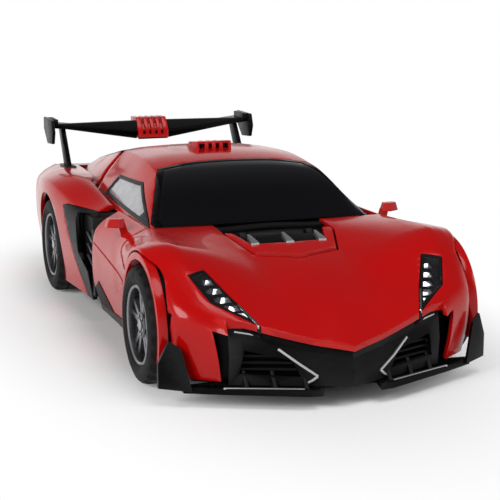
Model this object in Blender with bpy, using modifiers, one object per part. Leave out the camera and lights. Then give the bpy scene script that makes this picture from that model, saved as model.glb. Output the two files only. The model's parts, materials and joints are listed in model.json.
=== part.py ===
"""A toy supercar that stands up into a robot.

The hood rises on the torso link and stays level, the roof tips back behind it,
the head turns out of the hood, and the two door arms swing out on links.
All sizes below are in millimetres; +Y runs from nose to tail and +X is the car's left.
"""
import math

import bmesh
import bpy
import numpy as np
from mathutils import Matrix, Vector

MM = 0.001

# Driving sizes of the car
FRONT_OVERHANG = 66
WHEELBASE = 190
REAR_OVERHANG = 79
BODY_WIDTH = 154
ROOF_HEIGHT = 85
WHEEL_DIAMETER = 52
WHEEL_WIDTH = 20
GROUND_GAP = 8
WALL = 2.2
FIT = 0.3
SHUT_LINE = 1.0
PANEL_GAP = 2.0
PILLAR = 2.4

# Walls, pins and plates that can be set by themselves
PIN_RADIUS = 2.6
HEAD_PIN_RADIUS = 1.1
AXLE_RADIUS = 2.0
TRIM_DEPTH = 3.0
FRAME_PLATE = 3.5
LINK_THICKNESS = 6.0
LINK_LENGTH = 46
LINK_WIDTH = 10
ARCH_GAP = 2.6
ARCH_LIP = 3.0
HEAD_WIDTH = 26
HEAD_DEPTH = 19
MASK_DEPTH = 2.4
HEAD_GAP = 1.8
ROLLER_RADIUS = 5.5

# Stations along the car, from nose to tail
LENGTH = FRONT_OVERHANG + WHEELBASE + REAR_OVERHANG
NOSE = -LENGTH / 2
FRONT_AXLE = NOSE + FRONT_OVERHANG
REAR_AXLE = FRONT_AXLE + WHEELBASE
TAIL = REAR_AXLE + REAR_OVERHANG
CHEST_PIVOT = FRONT_AXLE - 28
HOOD_REAR = FRONT_AXLE + 42
LINK_PIVOT = FRONT_AXLE + 22
ARM_PIVOT = LINK_PIVOT - LINK_LENGTH
HEAD_PIVOT = HOOD_REAR - 12
COWL_TIP = HEAD_PIVOT - 34
DOOR_REAR = REAR_AXLE - 88
BULKHEAD = REAR_AXLE - 84
KNEE_PIVOT = REAR_AXLE - 71
ROOF_PIVOT = REAR_AXLE - 28
ROOF_REAR = ROOF_PIVOT + 4
DECK_FRONT = ROOF_PIVOT + 12.5
DECK_REAR = TAIL - 13
TORSO_REAR = BULKHEAD - 28

# Heights
AXLE_HEIGHT = WHEEL_DIAMETER / 2
ARCH_RADIUS = AXLE_HEIGHT + ARCH_GAP
SILL = GROUND_GAP + 3
FENDER_TOP = AXLE_HEIGHT + ARCH_RADIUS + ARCH_LIP + 4
HOOD_TOP = FENDER_TOP - 2
BELT = HOOD_TOP - 2
TORSO_BOTTOM = GROUND_GAP + 4
HEAD_HEIGHT = HOOD_TOP - 4.4
TORSO_TOP = HEAD_HEIGHT - HEAD_DEPTH - MASK_DEPTH - HEAD_GAP
WING_TOP = TORSO_TOP - 6.5
TORSO_DEEP = TORSO_TOP - TORSO_BOTTOM
CHEST_HEIGHT = TORSO_BOTTOM + TORSO_DEEP * 0.4
PLATE_BOTTOM = TORSO_TOP + 3
PLATE_TOP = PLATE_BOTTOM + FRAME_PLATE
LINK_TOP = PLATE_BOTTOM - FIT
LINK_BOTTOM = LINK_TOP - LINK_THICKNESS
KNEE_HEIGHT = TORSO_TOP + 18
ROOF_PIVOT_HEIGHT = ROOF_HEIGHT - 9.5
HIP_TOP = ROOF_HEIGHT - 18.5

# Half widths
HALF = BODY_WIDTH / 2
WHEEL_PLANE = HALF - 11
WHEEL_INNER = WHEEL_PLANE - WHEEL_WIDTH / 2
HOUSING_INNER = WHEEL_INNER - 8
CABIN_HALF = HALF - 20
DOOR_INNER = CABIN_HALF + 1.2
LINK_X = HOUSING_INNER - 10
WING_HALF = LINK_X + 0.5
CORE_HALF = LINK_X - 7
KNEE_HALF = 22
COWL_HALF = 26
COWL_TAPER = 6.5
CHEST_HALF = 12

RED = ("red_gloss", (0.46, 0.012, 0.010), 0.18, 0.0)
BLACK = ("black_plastic", (0.012, 0.012, 0.013), 0.38, 0.0)
GLASS = ("black_glass", (0.006, 0.006, 0.007), 0.06, 0.0)
SILVER = ("silver_plastic", (0.55, 0.56, 0.58), 0.28, 0.85)
CHROME = ("dark_chrome", (0.30, 0.31, 0.33), 0.12, 1.0)
RUBBER = ("tyre_rubber", (0.018, 0.018, 0.018), 0.75, 0.0)
WHITE = ("white_nylon", (0.80, 0.80, 0.78), 0.45, 0.0)
GREY = ("grey_plastic", (0.30, 0.31, 0.32), 0.45, 0.0)
GREEN = ("board_green", (0.02, 0.16, 0.06), 0.5, 0.0)
STEEL = ("steel_pin", (0.62, 0.62, 0.63), 0.25, 1.0)

for stale in list(bpy.data.objects):
    bpy.data.objects.remove(stale, do_unlink=True)
PARTS = bpy.data.collections.new("transforming_robot_car")
CUTTERS = bpy.data.collections.new("cutters")
bpy.context.scene.collection.children.link(PARTS)
bpy.context.scene.collection.children.link(CUTTERS)


def finish(spec):
    """One Principled material for each finish, shared by its pieces."""
    name, colour, roughness, metallic = spec
    found = bpy.data.materials.get(name)
    if found:
        return found
    made = bpy.data.materials.new(name)
    made.use_nodes = True
    shader = made.node_tree.nodes["Principled BSDF"]
    shader.inputs["Base Color"].default_value = (*colour, 1.0)
    shader.inputs["Roughness"].default_value = roughness
    shader.inputs["Metallic"].default_value = metallic
    return made


def fair(points):
    """A smooth curve through (station, value) points that never overshoots them."""
    stations = np.array([point[0] for point in points], dtype=float)
    values = np.array([point[1] for point in points], dtype=float)
    slopes = np.diff(values) / np.diff(stations)
    tangents = np.empty(len(values))
    tangents[0] = slopes[0]
    tangents[-1] = slopes[-1]
    for index in range(1, len(slopes)):
        before, after = slopes[index - 1], slopes[index]
        tangents[index] = 2 * before * after / (before + after) if before * after > 0 else 0.0

    def value(at):
        at = min(max(at, stations[0]), stations[-1])
        index = int(min(np.searchsorted(stations, at, side="right") - 1, len(slopes) - 1))
        step = stations[index + 1] - stations[index]
        t = (at - stations[index]) / step
        start = values[index] * (1 + 2 * t) * (1 - t) ** 2 + tangents[index] * step * t * (1 - t) ** 2
        end = values[index + 1] * t * t * (3 - 2 * t) + tangents[index + 1] * step * t * t * (t - 1)
        return float(start + end)

    return value


def mesh_object(name, bm):
    """A loose mesh object, in the cutters' collection until it becomes a part."""
    mesh = bpy.data.meshes.new(name)
    bm.to_mesh(mesh)
    bm.free()
    made = bpy.data.objects.new(name, mesh)
    CUTTERS.objects.link(made)
    made.hide_render = True
    made.display_type = "WIRE"
    return made


def turn_to(axis):
    """Rotation that lays a shape built along Z along the named axis."""
    if axis == "X":
        return Matrix(((0, 0, 1, 0), (1, 0, 0, 0), (0, 1, 0, 0), (0, 0, 0, 1)))
    if axis == "Y":
        return Matrix(((1, 0, 0, 0), (0, 0, -1, 0), (0, 1, 0, 0), (0, 0, 0, 1)))
    return Matrix.Identity(4)


def prism(axis, outline, low, high):
    """A flat outline extruded along an axis: X takes (y, z), Y takes (x, z), Z takes (x, y)."""
    curve = bpy.data.curves.new("outline", "CURVE")
    curve.dimensions = "2D"
    curve.fill_mode = "BOTH"
    curve.extrude = (high - low) / 2 * MM
    spline = curve.splines.new("POLY")
    spline.points.add(len(outline) - 1)
    for point, (across, up) in zip(spline.points, outline):
        point.co = (across * MM, up * MM, 0, 1)
    spline.use_cyclic_u = True
    guide = bpy.data.objects.new("outline", curve)
    CUTTERS.objects.link(guide)
    graph = bpy.context.evaluated_depsgraph_get()
    solid = bpy.data.meshes.new_from_object(guide.evaluated_get(graph))
    bpy.data.objects.remove(guide)
    middle = (low + high) / 2 * MM * (-1 if axis == "Y" else 1)
    solid.transform(turn_to(axis) @ Matrix.Translation((0, 0, middle)))
    bm = bmesh.new()
    bm.from_mesh(solid)
    bmesh.ops.remove_doubles(bm, verts=bm.verts, dist=1e-6)
    bmesh.ops.recalc_face_normals(bm, faces=bm.faces)
    return mesh_object("prism", bm)


def box(low, high):
    """A block between two corners."""
    bm = bmesh.new()
    size = [(b - a) * MM for a, b in zip(low, high)]
    middle = [(a + b) / 2 * MM for a, b in zip(low, high)]
    place = Matrix.Translation(middle) @ Matrix.Diagonal((*size, 1.0))
    bmesh.ops.create_cube(bm, size=1.0, matrix=place)
    return mesh_object("box", bm)


def rod(axis, centre, radius, low, high, sides=12):
    """A round bar along an axis, centred on two of the other coordinates as in prism."""
    bm = bmesh.new()
    middle = (low + high) / 2 * (-1 if axis == "Y" else 1)
    place = turn_to(axis) @ Matrix.Translation((centre[0] * MM, centre[1] * MM, middle * MM))
    bmesh.ops.create_cone(bm, cap_ends=True, segments=sides, radius1=radius * MM, radius2=radius * MM,
                          depth=(high - low) * MM, matrix=place)
    return mesh_object("rod", bm)


def turned(profile, sides):
    """A profile of (radius, along) points, outer side from high to low, turned about X."""
    bm = bmesh.new()
    points = [bm.verts.new((radius * MM, 0, along * MM)) for radius, along in profile]
    for first, second in zip(points, points[1:] + points[:1]):
        if first.co.x + second.co.x > 0:
            bm.edges.new((first, second))
    made = mesh_object("turned", bm)
    screw = made.modifiers.new("turn", "SCREW")
    screw.axis = "Z"
    screw.steps = sides
    screw.render_steps = sides
    screw.use_merge_vertices = True
    screw.merge_threshold = 0.0001
    graph = bpy.context.evaluated_depsgraph_get()
    solid = bpy.data.meshes.new_from_object(made.evaluated_get(graph))
    bpy.data.objects.remove(made)
    solid.transform(turn_to("X"))
    bm = bmesh.new()
    bm.from_mesh(solid)
    bmesh.ops.recalc_face_normals(bm, faces=bm.faces)
    return mesh_object("turned", bm)


def loft(stations, section, wall):
    """A shell lofted through half sections, mirrored left to right and thickened inwards."""
    bm = bmesh.new()
    rows = [[bm.verts.new((x * MM, y * MM, z * MM)) for x, z in section(y)] for y in stations]
    for front, back in zip(rows, rows[1:]):
        for column in range(len(front) - 1):
            bm.faces.new((front[column], front[column + 1], back[column + 1], back[column]))
    made = mesh_object("loft", bm)
    mirror = made.modifiers.new("both_sides", "MIRROR")
    mirror.merge_threshold = 0.0001
    skin = made.modifiers.new("wall", "SOLIDIFY")
    skin.thickness = wall * MM
    skin.offset = -1
    skin.use_even_offset = True
    return made


def boolean(target, operand, operation):
    """Cuts, joins or keeps with another shape, which then rides on the target."""
    operand.parent = target
    step = target.modifiers.new(operation.lower(), "BOOLEAN")
    step.operation = operation
    step.solver = "EXACT"
    step.object = operand
    return target


def cut(target, *operands):
    for operand in operands:
        boolean(target, operand, "DIFFERENCE")
    return target


def join(target, *operands):
    for operand in operands:
        boolean(target, operand, "UNION")
    return target


def keep(target, *operands):
    for operand in operands:
        boolean(target, operand, "INTERSECT")
    return target


def soften(target, width):
    """A small round on the edges of a moulded piece."""
    bevel = target.modifiers.new("round", "BEVEL")
    bevel.width = width * MM
    bevel.segments = 1
    bevel.limit_method = "ANGLE"
    bevel.angle_limit = math.radians(40)
    return target


AXES = {}


def axis_empty(name, position, parent=None):
    """An empty on a joint's axis, which carries the pieces that turn there."""
    empty = bpy.data.objects.new(f"{name}_axis", None)
    empty.empty_display_size = 0.01
    PARTS.objects.link(empty)
    world = Vector(position) * MM
    if parent:
        empty.parent = AXES[parent][0]
        world_of_parent = AXES[parent][1]
        empty.location = world - world_of_parent
    else:
        empty.location = world
    AXES[name] = (empty, world)
    return name


def part(name, shape, spec, axis):
    """Names a shape as a sub-part, gives it its finish and hangs it on its joint's empty."""
    CUTTERS.objects.unlink(shape)
    PARTS.objects.link(shape)
    shape.name = name
    shape.data.name = name
    shape.hide_render = False
    shape.display_type = "TEXTURED"
    shape.data.materials.clear()
    shape.data.materials.append(finish(spec))
    empty, world = AXES[axis]
    shape.parent = empty
    shape.location = shape.location - world
    return shape


def sides():
    """Left is +X, right is -X."""
    return (("left", 1), ("right", -1))


def flip(outline, side):
    """An outline in (x, y) or (x, z) for one side of the car."""
    mirrored = [(across * side, other) for across, other in outline]
    return mirrored if side > 0 else mirrored[::-1]


def offset(outline, distance):
    """An outline moved outwards by the same distance all round."""
    count = len(outline)
    area = sum(outline[i - 1][0] * outline[i][1] - outline[i][0] * outline[i - 1][1] for i in range(count))
    turn = 1 if area > 0 else -1
    moved = []
    for index in range(count):
        here = Vector(outline[index])
        before = (here - Vector(outline[index - 1])).normalized()
        after = (Vector(outline[(index + 1) % count]) - here).normalized()
        normal = Vector((before.y + after.y, -before.x - after.x)) * turn
        reach = distance * 2 / normal.length_squared
        moved.append(tuple(here + normal * reach))
    return moved


def arc(centre, radius, start, end, steps):
    """Points on an arc, angles in degrees."""
    points = []
    for step in range(steps + 1):
        angle = math.radians(start + (end - start) * step / steps)
        points.append((centre[0] + radius * math.cos(angle), centre[1] + radius * math.sin(angle)))
    return points


# The body surface, as curves along the car
WINDSCREEN_TOP = KNEE_PIVOT - 32
ROOF_PEAK = KNEE_PIVOT + 2
NOSE_SWEEP = 20
NOSE_CORNER = HALF - 26
BUMPER_END = NOSE_CORNER - 3
WINGLET_ROOT = HALF - 14
half_width = fair(((NOSE, HALF - 30), (NOSE + 17, HALF - 26), (NOSE + 33, HALF - 8.5),
                   (FRONT_AXLE, HALF - 2.5), (HOOD_REAR + 12, HALF - 6),
                   (BULKHEAD + 8, HALF - 5), (REAR_AXLE, HALF), (TAIL, HALF - 9)))
centre_top = fair(((NOSE, HOOD_TOP - 35), (NOSE + 25, HOOD_TOP - 21.5), (FRONT_AXLE - 6, HOOD_TOP - 9),
                   (HOOD_REAR, HOOD_TOP), (BULKHEAD, BELT), (DECK_FRONT, HIP_TOP - 5), (TAIL, HIP_TOP - 7)))
crest_top = fair(((NOSE, HOOD_TOP - 36), (NOSE + 25, HOOD_TOP - 19.5), (FRONT_AXLE - 2, FENDER_TOP),
                  (HOOD_REAR, FENDER_TOP - 1.5), (BULKHEAD, BELT + 2), (REAR_AXLE - 10, HIP_TOP),
                  (TAIL, HIP_TOP - 6)))
shoulder_top = fair(((NOSE, HOOD_TOP - 41), (NOSE + 30, HOOD_TOP - 24), (FRONT_AXLE, FENDER_TOP - 5),
                     (HOOD_REAR, BELT - 8), (BULKHEAD, BELT - 10), (REAR_AXLE, HIP_TOP - 8),
                     (TAIL, HIP_TOP - 17)))
roof_top = fair(((HOOD_REAR, HOOD_TOP), (WINDSCREEN_TOP, ROOF_HEIGHT - 3.5), (ROOF_PEAK, ROOF_HEIGHT),
                 (ROOF_PIVOT - 3, ROOF_HEIGHT - 1.5), (REAR_AXLE + 14, ROOF_HEIGHT - 9), (TAIL, HIP_TOP - 3)))
roof_edge = fair(((HOOD_REAR, CABIN_HALF - 6), (WINDSCREEN_TOP, CABIN_HALF - 15),
                  (ROOF_PEAK, CABIN_HALF - 17), (DECK_FRONT, CABIN_HALF - 20), (TAIL, CABIN_HALF - 27)))
cabin_half = fair(((HOOD_REAR, CABIN_HALF), (HOOD_REAR + 40, CABIN_HALF), (DECK_FRONT, CABIN_HALF - 4),
                   (TAIL, CABIN_HALF - 15)))
cabin_base = fair(((HOOD_REAR, BELT - 1), (BULKHEAD, BELT - 0.5), (DECK_FRONT, HIP_TOP - 7),
                   (TAIL, HIP_TOP - 11)))


def body_section(y):
    """Half section of the lower body, from the crease on the centre line down to the sill."""
    half, centre = half_width(y), centre_top(y)
    crest, shoulder = crest_top(y), shoulder_top(y)
    return ((0, centre + 0.8), (half * 0.30, centre), (half * 0.57, centre + (crest - centre) * 0.55),
            (half * 0.83, crest), (half * 0.94, (crest + shoulder) / 2 + 1.2), (half, shoulder),
            (half, (shoulder + SILL) / 2), (half - 3, SILL))


def cabin_section(y):
    """Half section of the cabin and engine deck, from the roof line to the belt."""
    top, edge, half, base = roof_top(y), roof_edge(y), cabin_half(y), cabin_base(y)
    drop = (top - base) * 0.10
    return ((0, top), (edge * 0.6, top - drop * 0.25), (edge, top - drop),
            ((edge + half) / 2 + 1, (top - drop) * 0.52 + base * 0.48), (half, base))


def body_height(x, y):
    """Height of the lower body's outer surface over a point of the plan."""
    section = body_section(y)
    across = [point[0] for point in section[:6]]
    return float(np.interp(abs(x), across, [point[1] for point in section[:6]]))


def stations(first, last, count):
    return [first + (last - first) * step / (count - 1) for step in range(count)]


# Joint axes
axis_empty("rear_body", (0, 0, 0))
axis_empty("torso", (0, KNEE_PIVOT, KNEE_HEIGHT), "rear_body")
axis_empty("hood", (0, CHEST_PIVOT, CHEST_HEIGHT), "torso")
axis_empty("head", (0, HEAD_PIVOT, HEAD_HEIGHT), "hood")
axis_empty("roof", (0, ROOF_PIVOT, ROOF_PIVOT_HEIGHT), "rear_body")
for name, side in sides():
    axis_empty(f"swing_link_{name}", (side * LINK_X, LINK_PIVOT, LINK_TOP), "hood")
    axis_empty(f"arm_{name}", (side * LINK_X, ARM_PIVOT, LINK_BOTTOM), f"swing_link_{name}")
    axis_empty(f"front_wheel_{name}", (side * WHEEL_PLANE, FRONT_AXLE, AXLE_HEIGHT), f"arm_{name}")
    axis_empty(f"rear_wheel_{name}", (side * WHEEL_PLANE, REAR_AXLE, AXLE_HEIGHT), "rear_body")


def cowl_outline(rear):
    """Plan of the panel in the hood that carries the head: a shallow V in front and slanted sides."""
    corner = COWL_HALF - COWL_TAPER
    corner_y = COWL_TIP + COWL_TAPER
    return ((0, COWL_TIP), (corner, corner_y), (COWL_HALF, HEAD_PIVOT - COWL_TAPER), (COWL_HALF, rear),
            (-COWL_HALF, rear), (-COWL_HALF, HEAD_PIVOT - COWL_TAPER), (-corner, corner_y))


def headlight_outline(side):
    """Plan of a lamp, a long wedge that follows the nose and points back over the wheel."""
    inner, outer = NOSE_CORNER - 15, NOSE_CORNER + 8
    return flip(((inner, NOSE + 16), (outer - 6, NOSE + 29), (outer, FRONT_AXLE - 24),
                 (outer - 8, FRONT_AXLE - 20), (inner + 6, FRONT_AXLE - 37)), side)


def nose_line(x, back):
    """The swept front edge of the hood in plan."""
    return NOSE + back + NOSE_SWEEP * min(abs(x) / NOSE_CORNER, 1.0) + max(abs(x) - NOSE_CORNER, 0) * 0.6


def hood_skin():
    return loft(stations(NOSE, HOOD_REAR, 11), body_section, WALL)


def hood_side_outline():
    """Side view of the hood: over the bumper, round the wheel arch and back to the door's shut line."""
    lip = ARCH_RADIUS + ARCH_LIP + SHUT_LINE
    corner = nose_line(BUMPER_END, 3.5)
    return [(NOSE - 5, HOOD_TOP - 40), (corner - 4, HOOD_TOP - 33), (corner, SILL + 2),
            (FRONT_AXLE - lip + 3, SILL + 2), (FRONT_AXLE - lip, AXLE_HEIGHT + 12),
            (FRONT_AXLE + lip * 0.82, AXLE_HEIGHT + 18.5), (HOOD_REAR, BELT - 6.5),
            (HOOD_REAR, ROOF_HEIGHT), (NOSE - 5, ROOF_HEIGHT)]


def hood():
    """Red hood and fenders, cut for the lamps, the head and the wheel arches."""
    front = [(x, nose_line(x, 2.0)) for x in (-HALF - 5, -NOSE_CORNER, 0, NOSE_CORNER, HALF + 5)]
    plan = prism("Z", front + [(HALF + 5, HOOD_REAR + 5), (-HALF - 5, HOOD_REAR + 5)], 0, ROOF_HEIGHT)
    skin = keep(hood_skin(), plan, prism("X", hood_side_outline(), -HALF - 5, HALF + 5))
    cut(skin, prism("Z", offset(cowl_outline(HOOD_REAR + 5), SHUT_LINE), 0, ROOF_HEIGHT))
    for _, side in sides():
        low, high = sorted((side * (WHEEL_INNER + 1), side * (HALF + 9)))
        arch = rod("X", (FRONT_AXLE, AXLE_HEIGHT), ARCH_RADIUS + ARCH_LIP + SHUT_LINE, low, high, 48)
        cut(skin, arch, prism("Z", offset(headlight_outline(side), FIT), 0, ROOF_HEIGHT))
    part("hood_shell", skin, RED, "hood")
    for name, side in sides():
        lamp = keep(hood_skin(), prism("Z", headlight_outline(side), 0, ROOF_HEIGHT),
                    prism("X", hood_side_outline(), -HALF - 5, HALF + 5))
        part(f"headlight_{name}", lamp, CHROME, "hood")
    vent = keep(hood_skin(), box((-COWL_HALF - SHUT_LINE + FIT, HEAD_PIVOT + 5.5, 0),
                                 (COWL_HALF + SHUT_LINE - FIT, HOOD_REAR - FIT, ROOF_HEIGHT)))
    part("cowl_vent", vent, BLACK, "hood")


def bumper():
    """Black front fascia under the hood's edge, with an intake on each side."""
    spans = (0, BUMPER_END * 0.33, BUMPER_END * 0.66, BUMPER_END - 5, BUMPER_END)
    levels = (0.0, 0.45, 0.8, 1.0)
    bm = bmesh.new()
    rows = []
    for x in spans:
        y = nose_line(x, 3.0)
        top = min(body_height(x, y + 2), body_height(x, y + 5)) - WALL - 1.8
        bottom = GROUND_GAP + 1
        lean = (0.0, -1.2, 0.4, 2.2)
        rows.append([bm.verts.new((x * MM, (y + shift) * MM, (bottom + (top - bottom) * level) * MM))
                     for level, shift in zip(levels, lean)])
    for near, far in zip(rows, rows[1:]):
        for level in range(len(levels) - 1):
            bm.faces.new((near[level], far[level], far[level + 1], near[level + 1]))
    fascia = mesh_object("fascia", bm)
    mirror = fascia.modifiers.new("both_sides", "MIRROR")
    mirror.merge_threshold = 0.0001
    wall = fascia.modifiers.new("wall", "SOLIDIFY")
    wall.thickness = 3 * MM
    wall.offset = -1
    for _, side in sides():
        intake = flip(((BUMPER_END * 0.42, GROUND_GAP + 5), (BUMPER_END - 4, GROUND_GAP + 6),
                       (BUMPER_END - 6, GROUND_GAP + 16), (BUMPER_END * 0.5, GROUND_GAP + 12)), side)
        cut(fascia, prism("Y", intake, NOSE - 10, NOSE + 60))
    part("bumper", fascia, BLACK, "hood")
    half = [(10, NOSE), (16, NOSE + 4), (NOSE_CORNER, nose_line(NOSE_CORNER, -1.5)),
            (WINGLET_ROOT + 3, nose_line(WINGLET_ROOT + 3, -3)),
            (WINGLET_ROOT + 3, nose_line(WINGLET_ROOT + 3, 0)),
            (NOSE_CORNER - 4, CHEST_PIVOT - 8), (CORE_HALF + 4, CHEST_PIVOT - 15)]
    blade = prism("Z", half + [(-x, y) for x, y in half[::-1]], GROUND_GAP - 2, GROUND_GAP + 1 - FIT)
    for _, side in sides():
        root, tip = WINGLET_ROOT, HALF - 1.5
        root_y, tip_y = nose_line(root, -4), nose_line(tip, -4)
        plan = flip(((root, root_y), (tip, tip_y), (tip, tip_y + 2), (root, root_y + 2)), side)
        rise = flip(((root, GROUND_GAP - 1), (tip, GROUND_GAP - 0.4), (tip, GROUND_GAP + 10),
                     (tip - 4, GROUND_GAP + 20), (root + 4, GROUND_GAP + 17)), side)
        winglet = keep(prism("Z", plan, GROUND_GAP - 5, GROUND_GAP + 24), prism("Y", rise, NOSE, FRONT_AXLE))
        join(blade, winglet)
    part("splitter", blade, BLACK, "hood")


def hood_frame():
    """Plate under the hood that carries the link pivots, the head's ears and the chest hinge."""
    front, rear = CHEST_PIVOT - 1, HOOD_REAR - 14
    outer = LINK_X + 7
    outline = [(-CHEST_HALF - 12, front), (CHEST_HALF + 12, front), (outer, ARM_PIVOT + 20), (outer, rear),
               (-outer, rear), (-outer, ARM_PIVOT + 20)]
    plate = prism("Z", outline, PLATE_BOTTOM, PLATE_TOP)
    cut(plate, box((-HEAD_WIDTH / 2 - 1.5, COWL_TIP - 1, 0), (HEAD_WIDTH / 2 + 1.5, rear + 5, ROOF_HEIGHT)))
    for _, side in sides():
        cut(plate, rod("Z", (side * LINK_X, LINK_PIVOT), PIN_RADIUS + FIT, 0, ROOF_HEIGHT))
        low, high = sorted((side * (CHEST_HALF + FIT), side * (CHEST_HALF + 7)))
        cheek = prism("X", [(CHEST_PIVOT - 8, PLATE_BOTTOM + 1),
                            *arc((CHEST_PIVOT, CHEST_HEIGHT), 7, 180, 360, 8),
                            (CHEST_PIVOT + 8, PLATE_BOTTOM + 1)], low, high)
        cut(cheek, rod("X", (CHEST_PIVOT, CHEST_HEIGHT), PIN_RADIUS + FIT, low - 1, high + 1))
        join(plate, cheek)
        low, high = sorted((side * (HEAD_WIDTH / 2 + 2), side * (HEAD_WIDTH / 2 + 5)))
        ear = prism("X", [(HOOD_REAR - 30, PLATE_TOP - 1), (HOOD_REAR - 15, PLATE_TOP - 1),
                          (HEAD_PIVOT + 2.5, HEAD_HEIGHT - 2),
                          *arc((HEAD_PIVOT, HEAD_HEIGHT), 2.5, 0, 180, 6),
                          (HEAD_PIVOT - 3, HEAD_HEIGHT - 2)], low, high)
        cut(ear, rod("X", (HEAD_PIVOT, HEAD_HEIGHT), HEAD_PIN_RADIUS + FIT, low - 1, high + 1, 12))
        join(plate, ear)
        for x, y in ((CHEST_HALF + 8, CHEST_PIVOT - 2), (LINK_X - 2, LINK_PIVOT - 22)):
            roof = body_height(x, y) - WALL
            across = abs(body_height(x + 3, y) - body_height(x - 3, y))
            along = abs(body_height(x, y + 3) - body_height(x, y - 3))
            join(plate, rod("Z", (side * x, y), 3, PLATE_TOP - 1, roof - (across + along) / 2 - 0.5, 12))
    part("hood_frame", plate, BLACK, "hood")


def chest_pin():
    pin = rod("X", (CHEST_PIVOT, CHEST_HEIGHT), PIN_RADIUS, -CHEST_HALF - 7, CHEST_HALF + 7)
    part("chest_pin", pin, STEEL, "torso")


def head():
    """Robot head on the inner face of the hood's V panel, with its own hinge barrel."""
    rear = HEAD_PIVOT - 3
    cowl = keep(hood_skin(), prism("Z", cowl_outline(rear), 0, ROOF_HEIGHT))
    part("head_cowl", cowl, RED, "head")
    half = HEAD_WIDTH / 2
    back = HEAD_HEIGHT - 3
    face = HEAD_HEIGHT - HEAD_DEPTH
    crown = COWL_TIP + 9
    profile = [(rear - 1, face + 4), (rear - 6, face), (crown + 10, face), (crown, back - 7),
               (crown, back - 3.5), (rear - 4, back), (rear - 1, back)]
    core = prism("X", profile, -half, half)
    join(core, rod("X", (HEAD_PIVOT, HEAD_HEIGHT), 2.2, -half, half, 16))
    join(core, box((-half + 0.5, rear - 3, HEAD_HEIGHT - 5), (half - 0.5, HEAD_PIVOT, HEAD_HEIGHT - 1)))
    join(core, rod("X", (HEAD_PIVOT, HEAD_HEIGHT), HEAD_PIN_RADIUS, -half - 4.7, half + 4.7, 12))
    for x in (-half + 5, half - 5):
        y = crown + 12
        roof = body_height(x, y) - WALL
        join(core, rod("Z", (x, y), 2.2, back - 4, roof - 1.2, 10))
    part("head_core", core, BLACK, "head")
    mask = prism("Z", [(-half + 1, rear - 15), (-half + 3, rear - 7), (-5, rear - 6), (5, rear - 6),
                       (half - 3, rear - 7), (half - 1, rear - 15), (4, rear - 17), (-4, rear - 17)],
                 face - MASK_DEPTH, face - FIT)
    part("face_mask", soften(mask, 0.8), SILVER, "head")
    visor = prism("Z", [(-half + 2, rear - 15.8), (-4, rear - 17.8), (4, rear - 17.8),
                        (half - 2, rear - 15.8), (half - 5, rear - 19.5), (-half + 5, rear - 19.5)],
                  face - 1.6, face - FIT)
    part("visor", visor, GLASS, "head")


def cabin_skin(first, last, count):
    return loft(stations(first, last, count), cabin_section, WALL)


def windscreen_outline():
    foot, shoulder = CABIN_HALF - 4, CABIN_HALF - 18
    top = WINDSCREEN_TOP + 6
    front = HOOD_REAR - 5
    half = [(0, front), (foot, front), (foot + 1, HOOD_REAR + 10), (shoulder, top), (shoulder * 0.5, top + 3),
            (0, top + 3.5)]
    return half + [(-x, y) for x, y in half[-2:0:-1]]


def side_window_outline():
    """Side view of the glass, a pointed wedge under the roof's edge."""
    return [(HOOD_REAR + 18, BELT + 3.5), (ROOF_PIVOT - 20, BELT + 5), (ROOF_PIVOT - 27, ROOF_HEIGHT - 16),
            (WINDSCREEN_TOP + 8, ROOF_HEIGHT - 14.5)]


def side_window_shape(grow, side):
    """Block that cuts one side window, stopping short of the windscreen by the pillar between them."""
    low, high = sorted((side * (CABIN_HALF - 26), side * (CABIN_HALF + 9)))
    shape = prism("X", offset(side_window_outline(), grow), low, high)
    cut(shape, prism("Z", offset(windscreen_outline(), PILLAR - grow), 0, ROOF_HEIGHT + 9))
    return shape


def roof():
    """Roof with its pillars, the long windscreen and the side glass, hinged at its rear edge."""
    front = HOOD_REAR + SHUT_LINE
    skin = cabin_skin(front, ROOF_REAR, 12)
    cut(skin, prism("Z", offset(windscreen_outline(), FIT), 0, ROOF_HEIGHT + 9))
    for _, side in sides():
        cut(skin, side_window_shape(FIT, side))
        low, high = sorted((side * 10, side * 14))
        lug = prism("X", [*arc((ROOF_PIVOT, ROOF_PIVOT_HEIGHT), 4.1, 180, 360, 8),
                          (ROOF_PIVOT + 3, ROOF_HEIGHT - 3.4),
                          (ROOF_PIVOT - 6, ROOF_HEIGHT - 3)], low, high)
        cut(lug, rod("X", (ROOF_PIVOT, ROOF_PIVOT_HEIGHT), PIN_RADIUS + FIT, low - 1, high + 1))
        join(skin, lug)
    part("roof_shell", skin, RED, "roof")
    glass = keep(cabin_skin(front, ROOF_REAR, 12), prism("Z", windscreen_outline(), 0, ROOF_HEIGHT + 9))
    part("windscreen", glass, GLASS, "roof")
    for name, side in sides():
        pane = keep(cabin_skin(front, ROOF_REAR, 12), side_window_shape(0, side))
        part(f"side_window_{name}", pane, GREY, "roof")
    part("roof_pin", rod("X", (ROOF_PIVOT, ROOF_PIVOT_HEIGHT), PIN_RADIUS, -20, 20), STEEL, "roof")


def deck_opening(grow, rear):
    """Plan of the opening in the rear body that the roof and the engine cover close."""
    half = [(CABIN_HALF + grow, BULKHEAD - 5), (CABIN_HALF + grow, DECK_FRONT - 12),
            (cabin_half(DECK_FRONT) + grow, DECK_FRONT), (cabin_half(rear) + grow, rear + grow)]
    return half + [(-x, y) for x, y in half[::-1]]


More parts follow.
